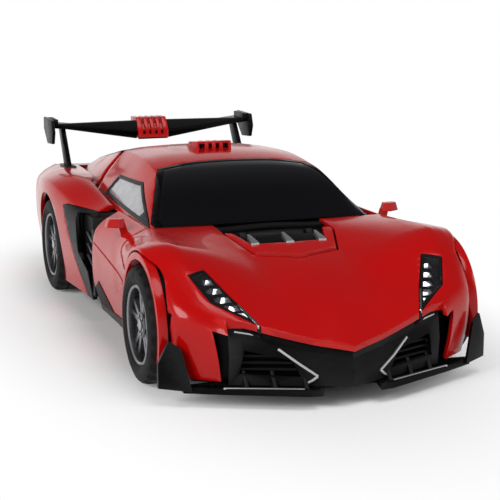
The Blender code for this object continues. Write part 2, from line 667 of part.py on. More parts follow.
def rear_body():
    """Rear quarters with the hips, engine cover, tail, intakes and the red bulkhead panels."""
    front = BULKHEAD + 6 + FIT
    skin = loft(stations(front, TAIL, 12), body_section, WALL)
    cut(skin, prism("Z", deck_opening(0.6, DECK_REAR), 0, ROOF_HEIGHT + 9))
    for _, side in sides():
        low, high = sorted((side * (WHEEL_INNER - 4), side * (HALF + 9)))
        cut(skin, rod("X", (REAR_AXLE, AXLE_HEIGHT), ARCH_RADIUS + 1, low, high, 48))
        mouth = [(front - 2, SILL + 14), (front + 16, SILL + 22), (front + 20, BELT - 4),
                 (front - 2, BELT - 1)]
        cut(skin, prism("X", mouth, low, high))
    part("rear_shell", skin, RED, "rear_body")
    cover = cabin_skin(DECK_FRONT, DECK_REAR - 0.2, 8)
    for row in range(4):
        y = DECK_FRONT + 12 + row * 13
        cut(cover, box((-22 + row * 2, y, 0), (22 - row * 2, y + 5, ROOF_HEIGHT + 9)))
    part("engine_cover", cover, BLACK, "rear_body")
    half = half_width(TAIL - 2) - WALL - 2
    top = body_height(0, TAIL - 2) - WALL - 1.5
    tail_outline = [(-half, SILL + 8), (half, SILL + 8), (half, shoulder_top(TAIL) - 1),
                    (half * 0.8, top - 1), (0, top), (-half * 0.8, top - 1), (-half, shoulder_top(TAIL) - 1)]
    tail = prism("Y", tail_outline, TAIL - 5, TAIL - 1.5)
    for _, side in sides():
        lamp = flip(((half * 0.35, top - 12), (half * 0.88, top - 8), (half * 0.9, top - 16),
                     (half * 0.45, top - 17)), side)
        cut(tail, prism("Y", lamp, TAIL - 3, TAIL + 5))
    part("tail_panel", tail, BLACK, "rear_body")
    for name, side in sides():
        inner = LEG_OUTER + 1
        _, _, (edge_x, edge_z), (mid_x, mid_z), (_, base_z) = cabin_section(BULKHEAD)
        under = WALL + PANEL_GAP
        panel = flip(((inner, GROUND_GAP + 6), (HALF - 12, GROUND_GAP + 5), (HALF - 8, SILL + 6),
                      (HALF - 8, BELT - 12), (CABIN_HALF - under, base_z - 2), (mid_x - under, mid_z - 1),
                      (edge_x - under, edge_z - under), (inner, edge_z - under)), side)
        part(f"bulkhead_panel_{name}", prism("Y", panel, BULKHEAD + 1, BULKHEAD + 6), RED, "rear_body")
        low, high = sorted((side * (half_width(front) - 9), side * (half_width(front) - WALL - 1.6)))
        duct = prism("X", [(BULKHEAD + 6.6, SILL + 10), (front + 20, SILL + 17), (front + 26, BELT - 5),
                           (BULKHEAD + 6.6, BELT - 4)], low, high)
        for level in range(3):
            z = SILL + 19 + level * 6
            cut(duct, box((min(low, high) - 5, front + 2, z), (max(low, high) + 5, front + 15, z + 3)))
        part(f"side_intake_{name}", duct, BLACK, "rear_body")


LEG_INNER = KNEE_HALF + 0.6
LEG_OUTER = LEG_INNER + 10
LEG_FRONT = TORSO_REAR + 5.6


def legs():
    """Fixed lower legs with the knee bearings, splayed feet and the middle block over the roller."""
    profile = [(LEG_FRONT, GROUND_GAP - 5), (KNEE_PIVOT + 2, GROUND_GAP - 5),
               (KNEE_PIVOT + 10, GROUND_GAP + 3),
               (KNEE_PIVOT + 10, KNEE_HEIGHT), *arc((KNEE_PIVOT, KNEE_HEIGHT), 9, 0, 180, 8),
               (BULKHEAD - 1, KNEE_HEIGHT - 12), (LEG_FRONT + 8, KNEE_HEIGHT - 15),
               (LEG_FRONT, KNEE_HEIGHT - 26)]
    frame = box((-LEG_INNER - 1, LEG_FRONT + 4, GROUND_GAP - 4),
                (LEG_INNER + 1, KNEE_PIVOT, TORSO_BOTTOM + TORSO_DEEP * 0.3))
    for _, side in sides():
        low, high = sorted((side * LEG_INNER, side * LEG_OUTER))
        leg = prism("X", profile, low, high)
        cut(leg, rod("X", (KNEE_PIVOT, KNEE_HEIGHT), PIN_RADIUS + FIT, low - 1, high + 1))
        foot = flip(((LEG_INNER + 1, KNEE_PIVOT), (LEG_OUTER - 1, KNEE_PIVOT),
                     (LEG_OUTER + 13, LEG_FRONT - 8), (LEG_INNER + 4, LEG_FRONT - 10)), side)
        join(frame, leg, prism("Z", foot, GROUND_GAP - 5, GROUND_GAP))
    slot = ROLLER_RADIUS + 1
    roller_y = LEG_FRONT + 12
    roller_z = ROLLER_RADIUS + 0.6
    cut(frame, box((-7, roller_y - slot, 0), (7, roller_y + slot, roller_z + slot)))
    cut(frame, rod("X", (roller_y, roller_z), 1.3, -11, 11, 12))
    part("leg_frame", frame, BLACK, "rear_body")
    axis_empty("support_roller", (0, roller_y, roller_z), "rear_body")
    wheel = rod("X", (roller_y, roller_z), ROLLER_RADIUS, -6, 6, 24)
    part("support_roller", join(wheel, rod("X", (roller_y, roller_z), 1.0, -10.5, 10.5, 12)), WHITE,
         "support_roller")
    for name, side in sides():
        panel = flip(((LEG_INNER + 1, GROUND_GAP + 3), (LEG_OUTER + 2, GROUND_GAP + 3),
                      (LEG_OUTER + 7, GROUND_GAP + 16),
                      (LEG_OUTER, GROUND_GAP + 24), (LEG_INNER, GROUND_GAP + 20)), side)
        part(f"shin_panel_{name}", soften(prism("Y", panel, LEG_FRONT - 3.6, LEG_FRONT - FIT), 0.8), RED,
             "rear_body")
    knee = rod("X", (KNEE_PIVOT, KNEE_HEIGHT), PIN_RADIUS, -LEG_OUTER, LEG_OUTER)
    part("knee_pin", knee, STEEL, "torso")


def chassis():
    """Floor tray of the rear body with the battery, the drive gearboxes and the lift gearbox."""
    inset = WHEEL_INNER - 5
    front = KNEE_PIVOT + 10.6
    outline = [(-HALF + 16, front), (HALF - 16, front), (HALF - 16, REAR_AXLE - 32), (inset, REAR_AXLE - 30),
               (inset, REAR_AXLE + 30), (HALF - 18, REAR_AXLE + 32), (HALF - 24, TAIL - 6),
               (-HALF + 24, TAIL - 6),
               (-HALF + 18, REAR_AXLE + 32), (-inset, REAR_AXLE + 30), (-inset, REAR_AXLE - 30),
               (-HALF + 16, REAR_AXLE - 32)]
    tray = prism("Z", outline, GROUND_GAP, GROUND_GAP + 34)
    wall = 2.4
    cut(tray, box((-inset + wall, front + wall, GROUND_GAP + 3), (inset - wall, TAIL - 9, ROOF_HEIGHT)))
    battery_front, battery_rear = REAR_AXLE + 20, REAR_AXLE + 58
    cut(tray, box((-24, battery_front, 0), (24, battery_rear, GROUND_GAP + 5)))
    cut(tray, rod("X", (REAR_AXLE, AXLE_HEIGHT), AXLE_RADIUS + 1, -HALF, HALF))
    slot = (REAR_AXLE - 33, REAR_AXLE - 17)
    cut(tray, box((-4, slot[0], 0), (4, slot[1], GROUND_GAP + 5)))
    for _, side in sides():
        low, high = sorted((side * (14 + FIT), side * 20))
        post = prism("X", [(ROOF_PIVOT - 9, GROUND_GAP + 1), (ROOF_PIVOT + 4, GROUND_GAP + 1),
                           (ROOF_PIVOT + 4, SILL + 24), (ROOF_PIVOT + 1, ROOF_PIVOT_HEIGHT - 12),
                           *arc((ROOF_PIVOT, ROOF_PIVOT_HEIGHT), 4.1, -60, 180, 8),
                           (ROOF_PIVOT - 6, ROOF_PIVOT_HEIGHT - 14)], low, high)
        cut(post, rod("X", (ROOF_PIVOT, ROOF_PIVOT_HEIGHT), PIN_RADIUS + FIT, low - 1, high + 1))
        join(tray, post)
    part("rear_chassis", tray, BLACK, "rear_body")
    cover = box((-24 + FIT, battery_front + FIT, GROUND_GAP),
                (24 - FIT, battery_rear - FIT, GROUND_GAP + 2.6))
    part("battery_cover", cover, BLACK, "rear_body")
    pack = box((-21, battery_front + 3, GROUND_GAP + 3), (21, battery_rear - 3, GROUND_GAP + 20))
    part("battery", soften(pack, 1.5), GREY, "rear_body")
    gear_top = KNEE_HEIGHT + 8
    lift = box((-19, front + wall + FIT, GROUND_GAP + 3 + FIT), (19, front + 21, gear_top))
    part("lift_gearbox", soften(lift, 1.2), WHITE, "rear_body")
    board = box((-23, front + 3, gear_top + FIT), (23, front + 23, gear_top + FIT + 1.6))
    part("circuit_board", board, GREEN, "rear_body")
    for name, side in sides():
        low, high = sorted((side * 12, side * (inset - wall - FIT)))
        drive = box((low, REAR_AXLE - 13, GROUND_GAP + 3 + FIT), (high, REAR_AXLE + 15, GROUND_GAP + 32))
        cut(drive, rod("X", (REAR_AXLE, AXLE_HEIGHT), AXLE_RADIUS + FIT, *sorted((side * 28, side * HALF))))
        part(f"drive_gearbox_{name}", soften(drive, 1.2), WHITE, "rear_body")
    axis_empty("power_switch", (0, slot[0] + 8, GROUND_GAP + 2), "rear_body")
    knob = box((-3.4, slot[0] + 2, GROUND_GAP + 0.4), (3.4, slot[0] + 9, GROUND_GAP + 3 + FIT))
    slider = join(knob, box((-6, slot[0] - 2, GROUND_GAP + 3 + FIT), (6, slot[0] + 13, GROUND_GAP + 5.5)))
    part("power_switch", slider, BLACK, "power_switch")


def spoiler():
    """Wing of two thin blades that rise to a ribbed fin in the middle, on struts."""
    blade_y, chord = TAIL - 24, 18
    end = HALF - 16
    top = ROOF_HEIGHT + 3
    dip = 6
    profile = [(-end, top - 3), (-8, top - dip - 3), (8, top - dip - 3), (end, top - 3), (end, top + 2),
               (end - 3, top + 2),
               (end - 3, top - 0.8), (8, top - dip - 0.6), (-8, top - dip - 0.6), (-end + 3, top - 0.8),
               (-end + 3, top + 2), (-end, top + 2)]
    blade = prism("Y", profile, blade_y, blade_y + chord)
    for _, side in sides():
        x = end - 8
        foot = body_height(x, blade_y - 12) + FIT
        low, high = sorted((side * x, side * (x + 2.4)))
        under = top - 3 - dip * (end - x) / (end - 8) + 0.8
        join(blade, prism("X", [(blade_y - 12, foot), (blade_y, foot), (blade_y + 14, under),
                                (blade_y + 5, under)], low, high))
    part("spoiler_blade", blade, BLACK, "rear_body")
    fin_top = top - dip - 0.6 + FIT
    fin = prism("X", [(blade_y - 3, fin_top), (blade_y + chord, fin_top), (blade_y + chord, fin_top + 7),
                      (blade_y + 6, fin_top + 6)], -7, 7)
    for rib in range(3):
        x = -5.2 + rib * 4.2
        cut(fin, box((x, blade_y - 9, fin_top + 2), (x + 2, blade_y + chord + 9, fin_top + 20)))
    part("spoiler_fin", fin, RED, "rear_body")


def wheel_shapes():
    """Tyre and spoked rim, turned about the wheel's own axis."""
    outer, half = AXLE_HEIGHT, WHEEL_WIDTH / 2
    bead = outer - 8
    tyre = turned([(bead, half - 1.5), (outer - 4, half), (outer - 1, half - 1.5), (outer, half - 4),
                   (outer, -half + 4),
                   (outer - 1, -half + 1.5), (outer - 4, -half), (bead, -half + 1.5)], 28)
    seat = bead - FIT
    rim = turned([(seat, half - 1.4), (seat, -half + 1.4), (seat - 1.6, -half + 1.4), (seat - 1.6, half - 7),
                  (5.5, half - 7.5), (0, half - 7.5), (0, half - 3), (4.5, half - 3),
                  (seat - 2.2, half - 3.6), (seat - 1.6, half - 1.4)], 20)
    for spoke in range(5):
        start = 360 * spoke / 5
        hole = [(math.cos(math.radians(start + turn)) * radius, math.sin(math.radians(start + turn)) * radius)
                for radius, turn in ((6.2, 36), (seat - 3, 14), (seat - 3, 58))]
        cut(rim, prism("X", hole, -half, half + 5))
    return tyre, rim


def wheels():
    for place in ("front", "rear"):
        for name, side in sides():
            tyre, rim = wheel_shapes()
            reach = 30 if place == "rear" else HOUSING_INNER + 1
            join(rim, rod("X", (0, 0), AXLE_RADIUS, reach - WHEEL_PLANE, WHEEL_WIDTH / 2 - 6, 16))
            for shape in (tyre, rim):
                shape.rotation_euler = (0, 0, 0 if side > 0 else math.pi)
            for label, shape, spec in (("tyre", tyre, RUBBER), ("rim", rim, CHROME)):
                node = part(f"{label}_{place}_{name}", shape, spec, f"{place}_wheel_{name}")
                node.location = (0, 0, 0)


def arms():
    """Door arms: swing link, black wheel housing, red door with the arch lip and mirror, silver fist."""
    for name, side in sides():
        axle = (FRONT_AXLE, AXLE_HEIGHT)
        half = LINK_WIDTH / 2
        ends = arc((LINK_X, ARM_PIVOT), half, 180, 360, 8) + arc((LINK_X, LINK_PIVOT), half, 0, 180, 8)
        bar = prism("Z", flip(ends, side), LINK_BOTTOM, LINK_TOP)
        join(bar, rod("Z", (side * LINK_X, LINK_PIVOT), PIN_RADIUS, LINK_TOP - 1, PLATE_TOP),
             rod("Z", (side * LINK_X, ARM_PIVOT), PIN_RADIUS, LINK_BOTTOM - 5.5, LINK_BOTTOM + 1))
        part(f"swing_link_{name}", bar, BLACK, f"swing_link_{name}")
        low, high = sorted((side * HOUSING_INNER, side * (HOUSING_INNER + 4)))
        floor = GROUND_GAP + 1
        inner = ARCH_RADIUS - 6
        wall_outline = [(FRONT_AXLE + inner - 1, floor), *arc(axle, inner, 0, 180, 16),
                        (FRONT_AXLE - inner + 1, floor)]
        housing = prism("X", wall_outline, low, high)
        liner = prism("X", [*arc(axle, ARCH_RADIUS + 1.8, 82, 198, 14), *arc(axle, ARCH_RADIUS, 198, 82, 14)],
                      *sorted((side * (WHEEL_INNER - 1.5), side * (HALF - 7 - FIT))))
        behind = ARCH_RADIUS - 4.6
        flange = prism("X", [*arc(axle, ARCH_RADIUS + 0.5, 80, 200, 14), (FRONT_AXLE - behind * 0.6, floor),
                             (FRONT_AXLE + behind * 0.7, floor), *arc(axle, behind, -25, 65, 10)],
                       *sorted((side * (HOUSING_INNER + 3), side * (WHEEL_INNER - FIT))))
        cut(flange, rod("X", axle, AXLE_RADIUS + FIT, -HALF, HALF))
        bracket = prism("Z", [(side * x, y) for x, y in
                              (*arc((LINK_X, ARM_PIVOT), 6.5, 90, 270, 8),
                               (HOUSING_INNER + 2, ARM_PIVOT - 6.5),
                               (HOUSING_INNER + 2, ARM_PIVOT + 6.5))], LINK_BOTTOM - FIT - 5,
                        LINK_BOTTOM - FIT)
        cut(bracket, rod("Z", (side * LINK_X, ARM_PIVOT), PIN_RADIUS + FIT, 0, ROOF_HEIGHT))
        cut(housing, rod("X", axle, AXLE_RADIUS + FIT, low - 1, high + 1))
        join(housing, flange, liner, bracket)
        part(f"arm_housing_{name}", housing, BLACK, f"arm_{name}")
        door(name, side)
        fist(name, side)


def door(name, side):
    axle = (FRONT_AXLE, AXLE_HEIGHT)
    ring = ARCH_RADIUS + ARCH_LIP
    low, high = sorted((side * DOOR_INNER, side * (HALF + 9)))
    outline = [(FRONT_AXLE + ARCH_RADIUS + 2, SILL - 1), (DOOR_REAR - 9, SILL - 1), (DOOR_REAR, SILL + 12),
               (DOOR_REAR - 9, BELT + 9), (HOOD_REAR + SHUT_LINE, BELT + 9),
               (HOOD_REAR + SHUT_LINE, BELT - 7.5),
               (FRONT_AXLE + ring * 0.86, AXLE_HEIGHT + 16.5), *arc(axle, ring - 1, 28, -12, 6)]
    skin = keep(loft(stations(FRONT_AXLE + 20, DOOR_REAR + 4, 9), body_section, WALL),
                prism("X", outline, low, high))
    lip = prism("X", [*arc(axle, ring, -22, 200, 28), *arc(axle, ARCH_RADIUS, 200, -22, 28)],
                *sorted((side * (HALF - 7), side * (HALF - 3))))
    join(skin, lip)
    stalk = prism("Z", [(side * x, y) for x, y in ((DOOR_INNER + 5, HOOD_REAR + 12),
                                                   (DOOR_INNER + 12, HOOD_REAR + 10),
                        (DOOR_INNER + 19, HOOD_REAR + 14), (DOOR_INNER + 19, HOOD_REAR + 18),
                                                   (DOOR_INNER + 6, HOOD_REAR + 16))],
                  BELT + 4, BELT + 8.5)
    foot = box((min(side * (DOOR_INNER + 5), side * (DOOR_INNER + 9)), HOOD_REAR + 12, BELT - 5),
               (max(side * (DOOR_INNER + 5), side * (DOOR_INNER + 9)), HOOD_REAR + 16, BELT + 6))
    join(skin, foot, stalk)
    part(f"door_{name}", skin, RED, f"arm_{name}")


def fist(name, side):
    """Closed hand on the inner side of the housing: a palm block with four folded fingers."""
    inner, outer = WING_HALF + 2, HOUSING_INNER - FIT
    front, low = FRONT_AXLE - 8, TORSO_BOTTOM + 1
    finger = 5.2
    tall = WING_TOP - TORSO_BOTTOM - 1.5
    palm = box((min(side * (inner + 4), side * outer), front, low),
               (max(side * (inner + 4), side * outer), front + 24, low + tall))
    for index in range(4):
        y = front + 1 + index * (finger + 0.6)
        block = box((min(side * inner, side * (inner + 5)), y, low + 0.6),
                    (max(side * inner, side * (inner + 5)), y + finger, low + tall - 0.6))
        join(palm, block)
    part(f"fist_{name}", palm, SILVER, f"arm_{name}")


def torso():
    """Torso plate, face down under the hood: core, side wings, knee arm and the trim on its face."""
    front = CHEST_PIVOT + 9
    core = prism("Z", [(-CORE_HALF, front + 3), (-CHEST_HALF - 8, front + 1), (CHEST_HALF + 8, front + 1),
                       (CORE_HALF, front + 3),
                       (CORE_HALF, LINK_PIVOT), (CORE_HALF - 9, TORSO_REAR - 26), (CORE_HALF - 3, TORSO_REAR),
                       (-CORE_HALF + 3, TORSO_REAR), (-CORE_HALF + 9, TORSO_REAR - 26),
                       (-CORE_HALF, LINK_PIVOT)],
                 TORSO_BOTTOM, TORSO_TOP)
    wings = prism("Z", [(-WING_HALF, ARM_PIVOT + 14), (WING_HALF, ARM_PIVOT + 14),
                        (WING_HALF, LINK_PIVOT + 2),
                        (CORE_HALF - 9, TORSO_REAR - 26), (WING_HALF, TORSO_REAR), (-WING_HALF, TORSO_REAR),
                        (-CORE_HALF + 9, TORSO_REAR - 26), (-WING_HALF, LINK_PIVOT + 2)], TORSO_BOTTOM + 0.4,
                  WING_TOP)
    hub = rod("X", (CHEST_PIVOT, CHEST_HEIGHT), 7, -CHEST_HALF, CHEST_HALF, 24)
    arm = prism("X", [(CHEST_PIVOT, CHEST_HEIGHT - 5), (front + 6, TORSO_BOTTOM + 1),
                      (front + 6, TORSO_TOP - 1), (CHEST_PIVOT, CHEST_HEIGHT + 6)], -CHEST_HALF, CHEST_HALF)
    knee_arm = prism("X", [(TORSO_REAR - 12, TORSO_BOTTOM + 2), (TORSO_REAR - 0.5, TORSO_BOTTOM + 4),
                           (LEG_FRONT + 16, TORSO_TOP - 6), (KNEE_PIVOT + 4, KNEE_HEIGHT - 8),
                           *arc((KNEE_PIVOT, KNEE_HEIGHT), 8.5, -45, 120, 10),
                           (TORSO_REAR - 12, TORSO_TOP - 1)], -KNEE_HALF, KNEE_HALF)
    join(core, wings, hub, arm, knee_arm)
    cut(core, rod("X", (CHEST_PIVOT, CHEST_HEIGHT), PIN_RADIUS + FIT, -HALF, HALF),
        rod("X", (KNEE_PIVOT, KNEE_HEIGHT), PIN_RADIUS + FIT, -HALF, HALF))
    part("torso_frame", core, BLACK, "torso")
    top, low = TORSO_BOTTOM - FIT, TORSO_BOTTOM - TRIM_DEPTH
    bar = 4
    middle = front + 40
    arm_x, arm_y = CORE_HALF - 5, 26
    cross = [(0, middle - bar), (arm_x - bar, middle - arm_y), (arm_x + bar, middle - arm_y), (bar, middle),
             (arm_x + bar, middle + arm_y),
             (arm_x - bar, middle + arm_y), (0, middle + bar), (-arm_x + bar, middle + arm_y),
             (-arm_x - bar, middle + arm_y),
             (-bar, middle), (-arm_x - bar, middle - arm_y), (-arm_x + bar, middle - arm_y)]
    trim = prism("Z", cross, low, top)
    crown = [(-11, front + 4), (11, front + 4), (8, middle - 17), (0, middle - 3), (-8, middle - 17)]
    join(trim, prism("Z", crown, low + 0.4, top - 0.01))
    wedge = [(-14, middle + 20), (0, middle + 9), (14, middle + 20), (6, middle + 36), (-6, middle + 36)]
    part("belly_wedge", prism("Z", wedge, low, top), RED, "torso")
    for name, side in sides():
        plate = flip(((CORE_HALF - 6, TORSO_REAR - 24), (WING_HALF - 2, TORSO_REAR - 2),
                      (LEG_INNER - 8, TORSO_REAR - 2)), side)
        part(f"thigh_panel_{name}", prism("Z", plate, low, top), RED, "torso")
        fan = [(2, middle + 2), (2, middle - 2)]
        for blade in range(4):
            angle = math.radians(-38 + blade * 25)
            spread = math.radians(8)
            for turn, reach in ((-spread, 18), (spread, 18), (spread * 1.5, 10)):
                fan.append((CORE_HALF - 14 + reach * math.cos(angle + turn) * 1.1,
                            middle + reach * math.sin(angle + turn)))
        join(trim, prism("Z", flip(fan, side), low + 0.6, top - 0.02))
    part("chest_trim", trim, SILVER, "torso")


hood()
bumper()
hood_frame()
chest_pin()
head()
roof()
rear_body()
legs()
chassis()
spoiler()
wheels()
arms()
torso()
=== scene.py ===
"""Looks of a toy supercar that stands up into a robot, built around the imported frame."""
import json
import math

import bmesh
import bpy
import numpy as np
from mathutils import Matrix, Vector


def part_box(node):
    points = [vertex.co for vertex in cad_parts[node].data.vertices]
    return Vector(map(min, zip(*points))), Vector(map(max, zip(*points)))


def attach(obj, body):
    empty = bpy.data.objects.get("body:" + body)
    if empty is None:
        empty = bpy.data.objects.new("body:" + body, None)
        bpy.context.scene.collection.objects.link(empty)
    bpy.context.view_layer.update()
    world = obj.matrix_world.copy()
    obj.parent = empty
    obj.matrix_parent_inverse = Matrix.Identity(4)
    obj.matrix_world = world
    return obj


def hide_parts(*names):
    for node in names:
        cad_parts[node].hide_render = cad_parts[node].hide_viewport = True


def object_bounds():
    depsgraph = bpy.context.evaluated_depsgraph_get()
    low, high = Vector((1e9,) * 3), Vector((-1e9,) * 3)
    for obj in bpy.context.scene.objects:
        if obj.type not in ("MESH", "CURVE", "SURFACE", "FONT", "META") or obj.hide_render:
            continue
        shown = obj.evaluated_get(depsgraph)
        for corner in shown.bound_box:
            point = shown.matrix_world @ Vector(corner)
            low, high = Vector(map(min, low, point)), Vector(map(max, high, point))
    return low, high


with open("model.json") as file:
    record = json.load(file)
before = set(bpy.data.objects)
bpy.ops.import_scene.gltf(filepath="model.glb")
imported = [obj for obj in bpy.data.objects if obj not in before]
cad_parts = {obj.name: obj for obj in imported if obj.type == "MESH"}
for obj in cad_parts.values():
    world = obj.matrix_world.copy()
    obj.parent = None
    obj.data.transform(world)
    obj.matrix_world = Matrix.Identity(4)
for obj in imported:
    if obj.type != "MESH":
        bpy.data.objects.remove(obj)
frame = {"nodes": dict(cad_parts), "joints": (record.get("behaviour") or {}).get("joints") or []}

CAD_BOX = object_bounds()
NODES = frame["nodes"]
MM = 0.001


class Socket:
    """An output socket of a material, or a bare start for one; arithmetic on it adds Math nodes."""

    def __init__(self, tree, output=None):
        self.tree = tree
        self.output = output

    def node(self, kind, settings, inputs, output=0):
        """Any node: its type, its settings, then the values or links of its sockets."""
        made = self.tree.nodes.new(kind)
        for key, value in settings.items():
            setattr(made, key, value)
        for key, value in inputs.items():
            if isinstance(value, Socket):
                self.tree.links.new(value.output, made.inputs[key])
            else:
                made.inputs[key].default_value = value
        return Socket(self.tree, made.outputs[output])

    def maths(self, operation, first, second):
        return self.node("ShaderNodeMath", {"operation": operation}, {0: first, 1: second})

    def __add__(self, other):
        return self.maths("ADD", self, other)

    def __radd__(self, other):
        return self.maths("ADD", other, self)

    def __sub__(self, other):
        return self.maths("SUBTRACT", self, other)

    def __rsub__(self, other):
        return self.maths("SUBTRACT", other, self)

    def __mul__(self, other):
        return self.maths("MULTIPLY", self, other)

    def __rmul__(self, other):
        return self.maths("MULTIPLY", other, self)

    def ramp(self, low, high):
        """0 below low, 1 above high and a smooth rise between them."""
        settings = {"interpolation_type": "SMOOTHSTEP"}
        return self.node("ShaderNodeMapRange", settings, {"Value": self, "From Min": low, "From Max": high})

    def tint(self, low, high):
        """The colour low where this is 0 and high where it is 1."""
        inputs = {0: self, 6: (*low, 1.0), 7: (*high, 1.0)}
        return self.node("ShaderNodeMix", {"data_type": "RGBA"}, inputs, 2)

    def over(self, under, colour):
        """Paints a colour over another colour socket, where this is 1."""
        inputs = {0: self, 6: under, 7: (*colour, 1.0)}
        return self.node("ShaderNodeMix", {"data_type": "RGBA"}, inputs, 2)

    def noise(self, size, detail=2.0):
        """Soft noise with features of about this many millimetres; self is a place."""
        inputs = {"Vector": self, "Scale": 1 / (size * MM), "Detail": detail}
        return self.node("ShaderNodeTexNoise", {}, inputs)

    def cells(self, size):
        """Distance from the middle of round cells of about this many millimetres."""
        inputs = {"Vector": self, "Scale": 1 / (size * MM)}
        return self.node("ShaderNodeTexVoronoi", {}, inputs, "Distance")

    def axis(self, letter):
        """One coordinate of a place, in metres."""
        return self.node("ShaderNodeSeparateXYZ", {}, {0: self}, letter)

    def stretched(self, x, y, z):
        """A place with its coordinates multiplied, so that what is drawn on it shrinks."""
        inputs = {0: self, 1: (x, y, z)}
        return self.node("ShaderNodeVectorMath", {"operation": "MULTIPLY"}, inputs)

    def bump(self, strength, height):
        """A normal from this height field, raised by height millimetres."""
        inputs = {"Height": self, "Strength": strength, "Distance": height * MM}
        return self.node("ShaderNodeBump", {}, inputs)


class Finish:
    """A material under construction: its place on the surface and its Principled shader."""

    def __init__(self, name):
        self.made = bpy.data.materials.new(name)
        self.made.use_nodes = True
        self.tree = self.made.node_tree
        self.shader = self.tree.nodes["Principled BSDF"]
        start = Socket(self.tree)
        self.place = start.node("ShaderNodeTexCoord", {}, {}, "Object")
        self.edge = start.node("ShaderNodeNewGeometry", {}, {}, "Pointiness").ramp(0.53, 0.60)

    def set(self, **values):
        """Feeds or sets the shader's sockets, named with _ for a space."""
        for key, value in values.items():
            target = self.shader.inputs[key.replace("_", " ")]
            if isinstance(value, Socket):
                self.tree.links.new(value.output, target)
            else:
                target.default_value = value
        return self


def red_gloss():
    """Moulded red plastic under a clear gloss, with faint ripple, dust and pale worn edges."""
    paint = Finish("red_gloss_plastic")
    cloud = paint.place.noise(60)
    speck = paint.place.noise(0.6, 4)
    haze = paint.place.noise(22, 5).ramp(0.45, 0.75)
    colour = cloud.tint((0.40, 0.0015, 0.002), (0.48, 0.003, 0.003))
    colour = (paint.edge * 0.25).over(colour, (0.70, 0.04, 0.03))
    ripple = paint.place.noise(7, 1) * 0.7 + speck * 0.3
    paint.set(Base_Color=colour, Roughness=0.19 + haze * 0.10 + paint.edge * 0.08,
              Normal=ripple.bump(0.05, 0.10))
    paint.set(Coat_Weight=0.30 - haze * 0.14, Coat_Roughness=0.04, Specular_IOR_Level=0.12)
    return paint.made


def black_plastic():
    """Fine-grained moulded black plastic, satin, a little grey on its edges."""
    paint = Finish("black_grained_plastic")
    grain = paint.place.cells(0.45)
    cloud = paint.place.noise(18, 4)
    colour = cloud.tint((0.0035, 0.0035, 0.004), (0.008, 0.008, 0.0085))
    colour = (paint.edge * 0.35).over(colour, (0.05, 0.05, 0.052))
    paint.set(Base_Color=colour, Roughness=0.36 + cloud * 0.16, Normal=grain.bump(0.10, 0.06))
    paint.set(Specular_IOR_Level=0.06)
    return paint.made


def black_gloss():
    """Polished black plastic of the wing, splitter and bumper, with light rub marks."""
    paint = Finish("black_gloss_plastic")
    rub = paint.place.stretched(1, 6, 6).noise(14, 5).ramp(0.5, 0.8)
    colour = rub.tint((0.0018, 0.0018, 0.002), (0.005, 0.005, 0.0055))
    colour = (paint.edge * 0.4).over(colour, (0.05, 0.05, 0.053))
    paint.set(Base_Color=colour, Roughness=0.24 + rub * 0.14 + paint.edge * 0.1)
    paint.set(Normal=paint.place.noise(4, 2).bump(0.04, 0.08), Specular_IOR_Level=0.05)
    return paint.made


def black_glass():
    """Opaque glossy windscreen plastic with a painted reflection that makes it lighter towards its top, and
    faint smears.
    """
    paint = Finish("black_glass")
    smear = paint.place.stretched(1, 3, 3).noise(30, 4).ramp(0.45, 0.8)
    # Painted reflection: the colour of the glass grows lighter towards its top
    height = paint.place.axis("Z").ramp(0.070, 0.094)
    colour = height.tint((0.003, 0.003, 0.004), (0.016, 0.017, 0.019))
    paint.set(Base_Color=colour, Roughness=0.07 + smear * 0.07,
              Normal=paint.place.noise(26, 1).bump(0.03, 0.15))
    paint.set(Coat_Weight=0.05 - smear * 0.03, Coat_Roughness=0.03, Specular_IOR_Level=0.12)
    return paint.made


def smoke_window():
    """Smoked grey side glass that shows a cloudy pale inside."""
    paint = Finish("smoke_window")
    cloud = paint.place.noise(9, 3).ramp(0.35, 0.7)
    colour = cloud.tint((0.20, 0.20, 0.215), (0.33, 0.33, 0.35))
    paint.set(Base_Color=colour, Roughness=0.10 + cloud * 0.10,
              Normal=paint.place.noise(14, 1).bump(0.04, 0.1))
    paint.set(Coat_Weight=0.5)
    return paint.made


def silver_plastic():
    """Silver-painted plastic with fine metal flake, brighter where it is rubbed."""
    paint = Finish("silver_painted_plastic")
    spark = paint.place.noise(0.35, 2)
    cloud = paint.place.noise(16, 4)
    colour = spark.tint((0.34, 0.345, 0.36), (0.50, 0.505, 0.52))
    colour = (paint.edge * 0.5).over(colour, (0.74, 0.74, 0.75))
    paint.set(Base_Color=colour, Roughness=0.26 + cloud * 0.12, Metallic=0.75 + cloud * 0.2,
              Normal=spark.bump(0.06, 0.05))
    return paint.made


def lamp_chrome():
    """Vacuum-plated reflector of the lamps, faceted and stained."""
    paint = Finish("lamp_chrome")
    facet = paint.place.cells(4.2)
    stain = paint.place.noise(5, 3)
    colour = stain.tint((0.22, 0.23, 0.25), (0.62, 0.63, 0.66))
    paint.set(Base_Color=colour, Roughness=0.10 + stain * 0.10, Metallic=1.0, Normal=facet.bump(0.5, 0.6))
    return paint.made


def clear_lens():
    """Clear moulded lens over the lamp, a little hazy at its edges."""
    paint = Finish("clear_lens")
    haze = paint.place.noise(8, 3)
    paint.set(Base_Color=haze.tint((0.08, 0.08, 0.09), (0.14, 0.14, 0.15)), Roughness=0.03 + haze * 0.05)
    paint.set(Alpha=0.03 + haze * 0.06, Normal=paint.place.noise(10, 1).bump(0.04, 0.2))
    return paint.made


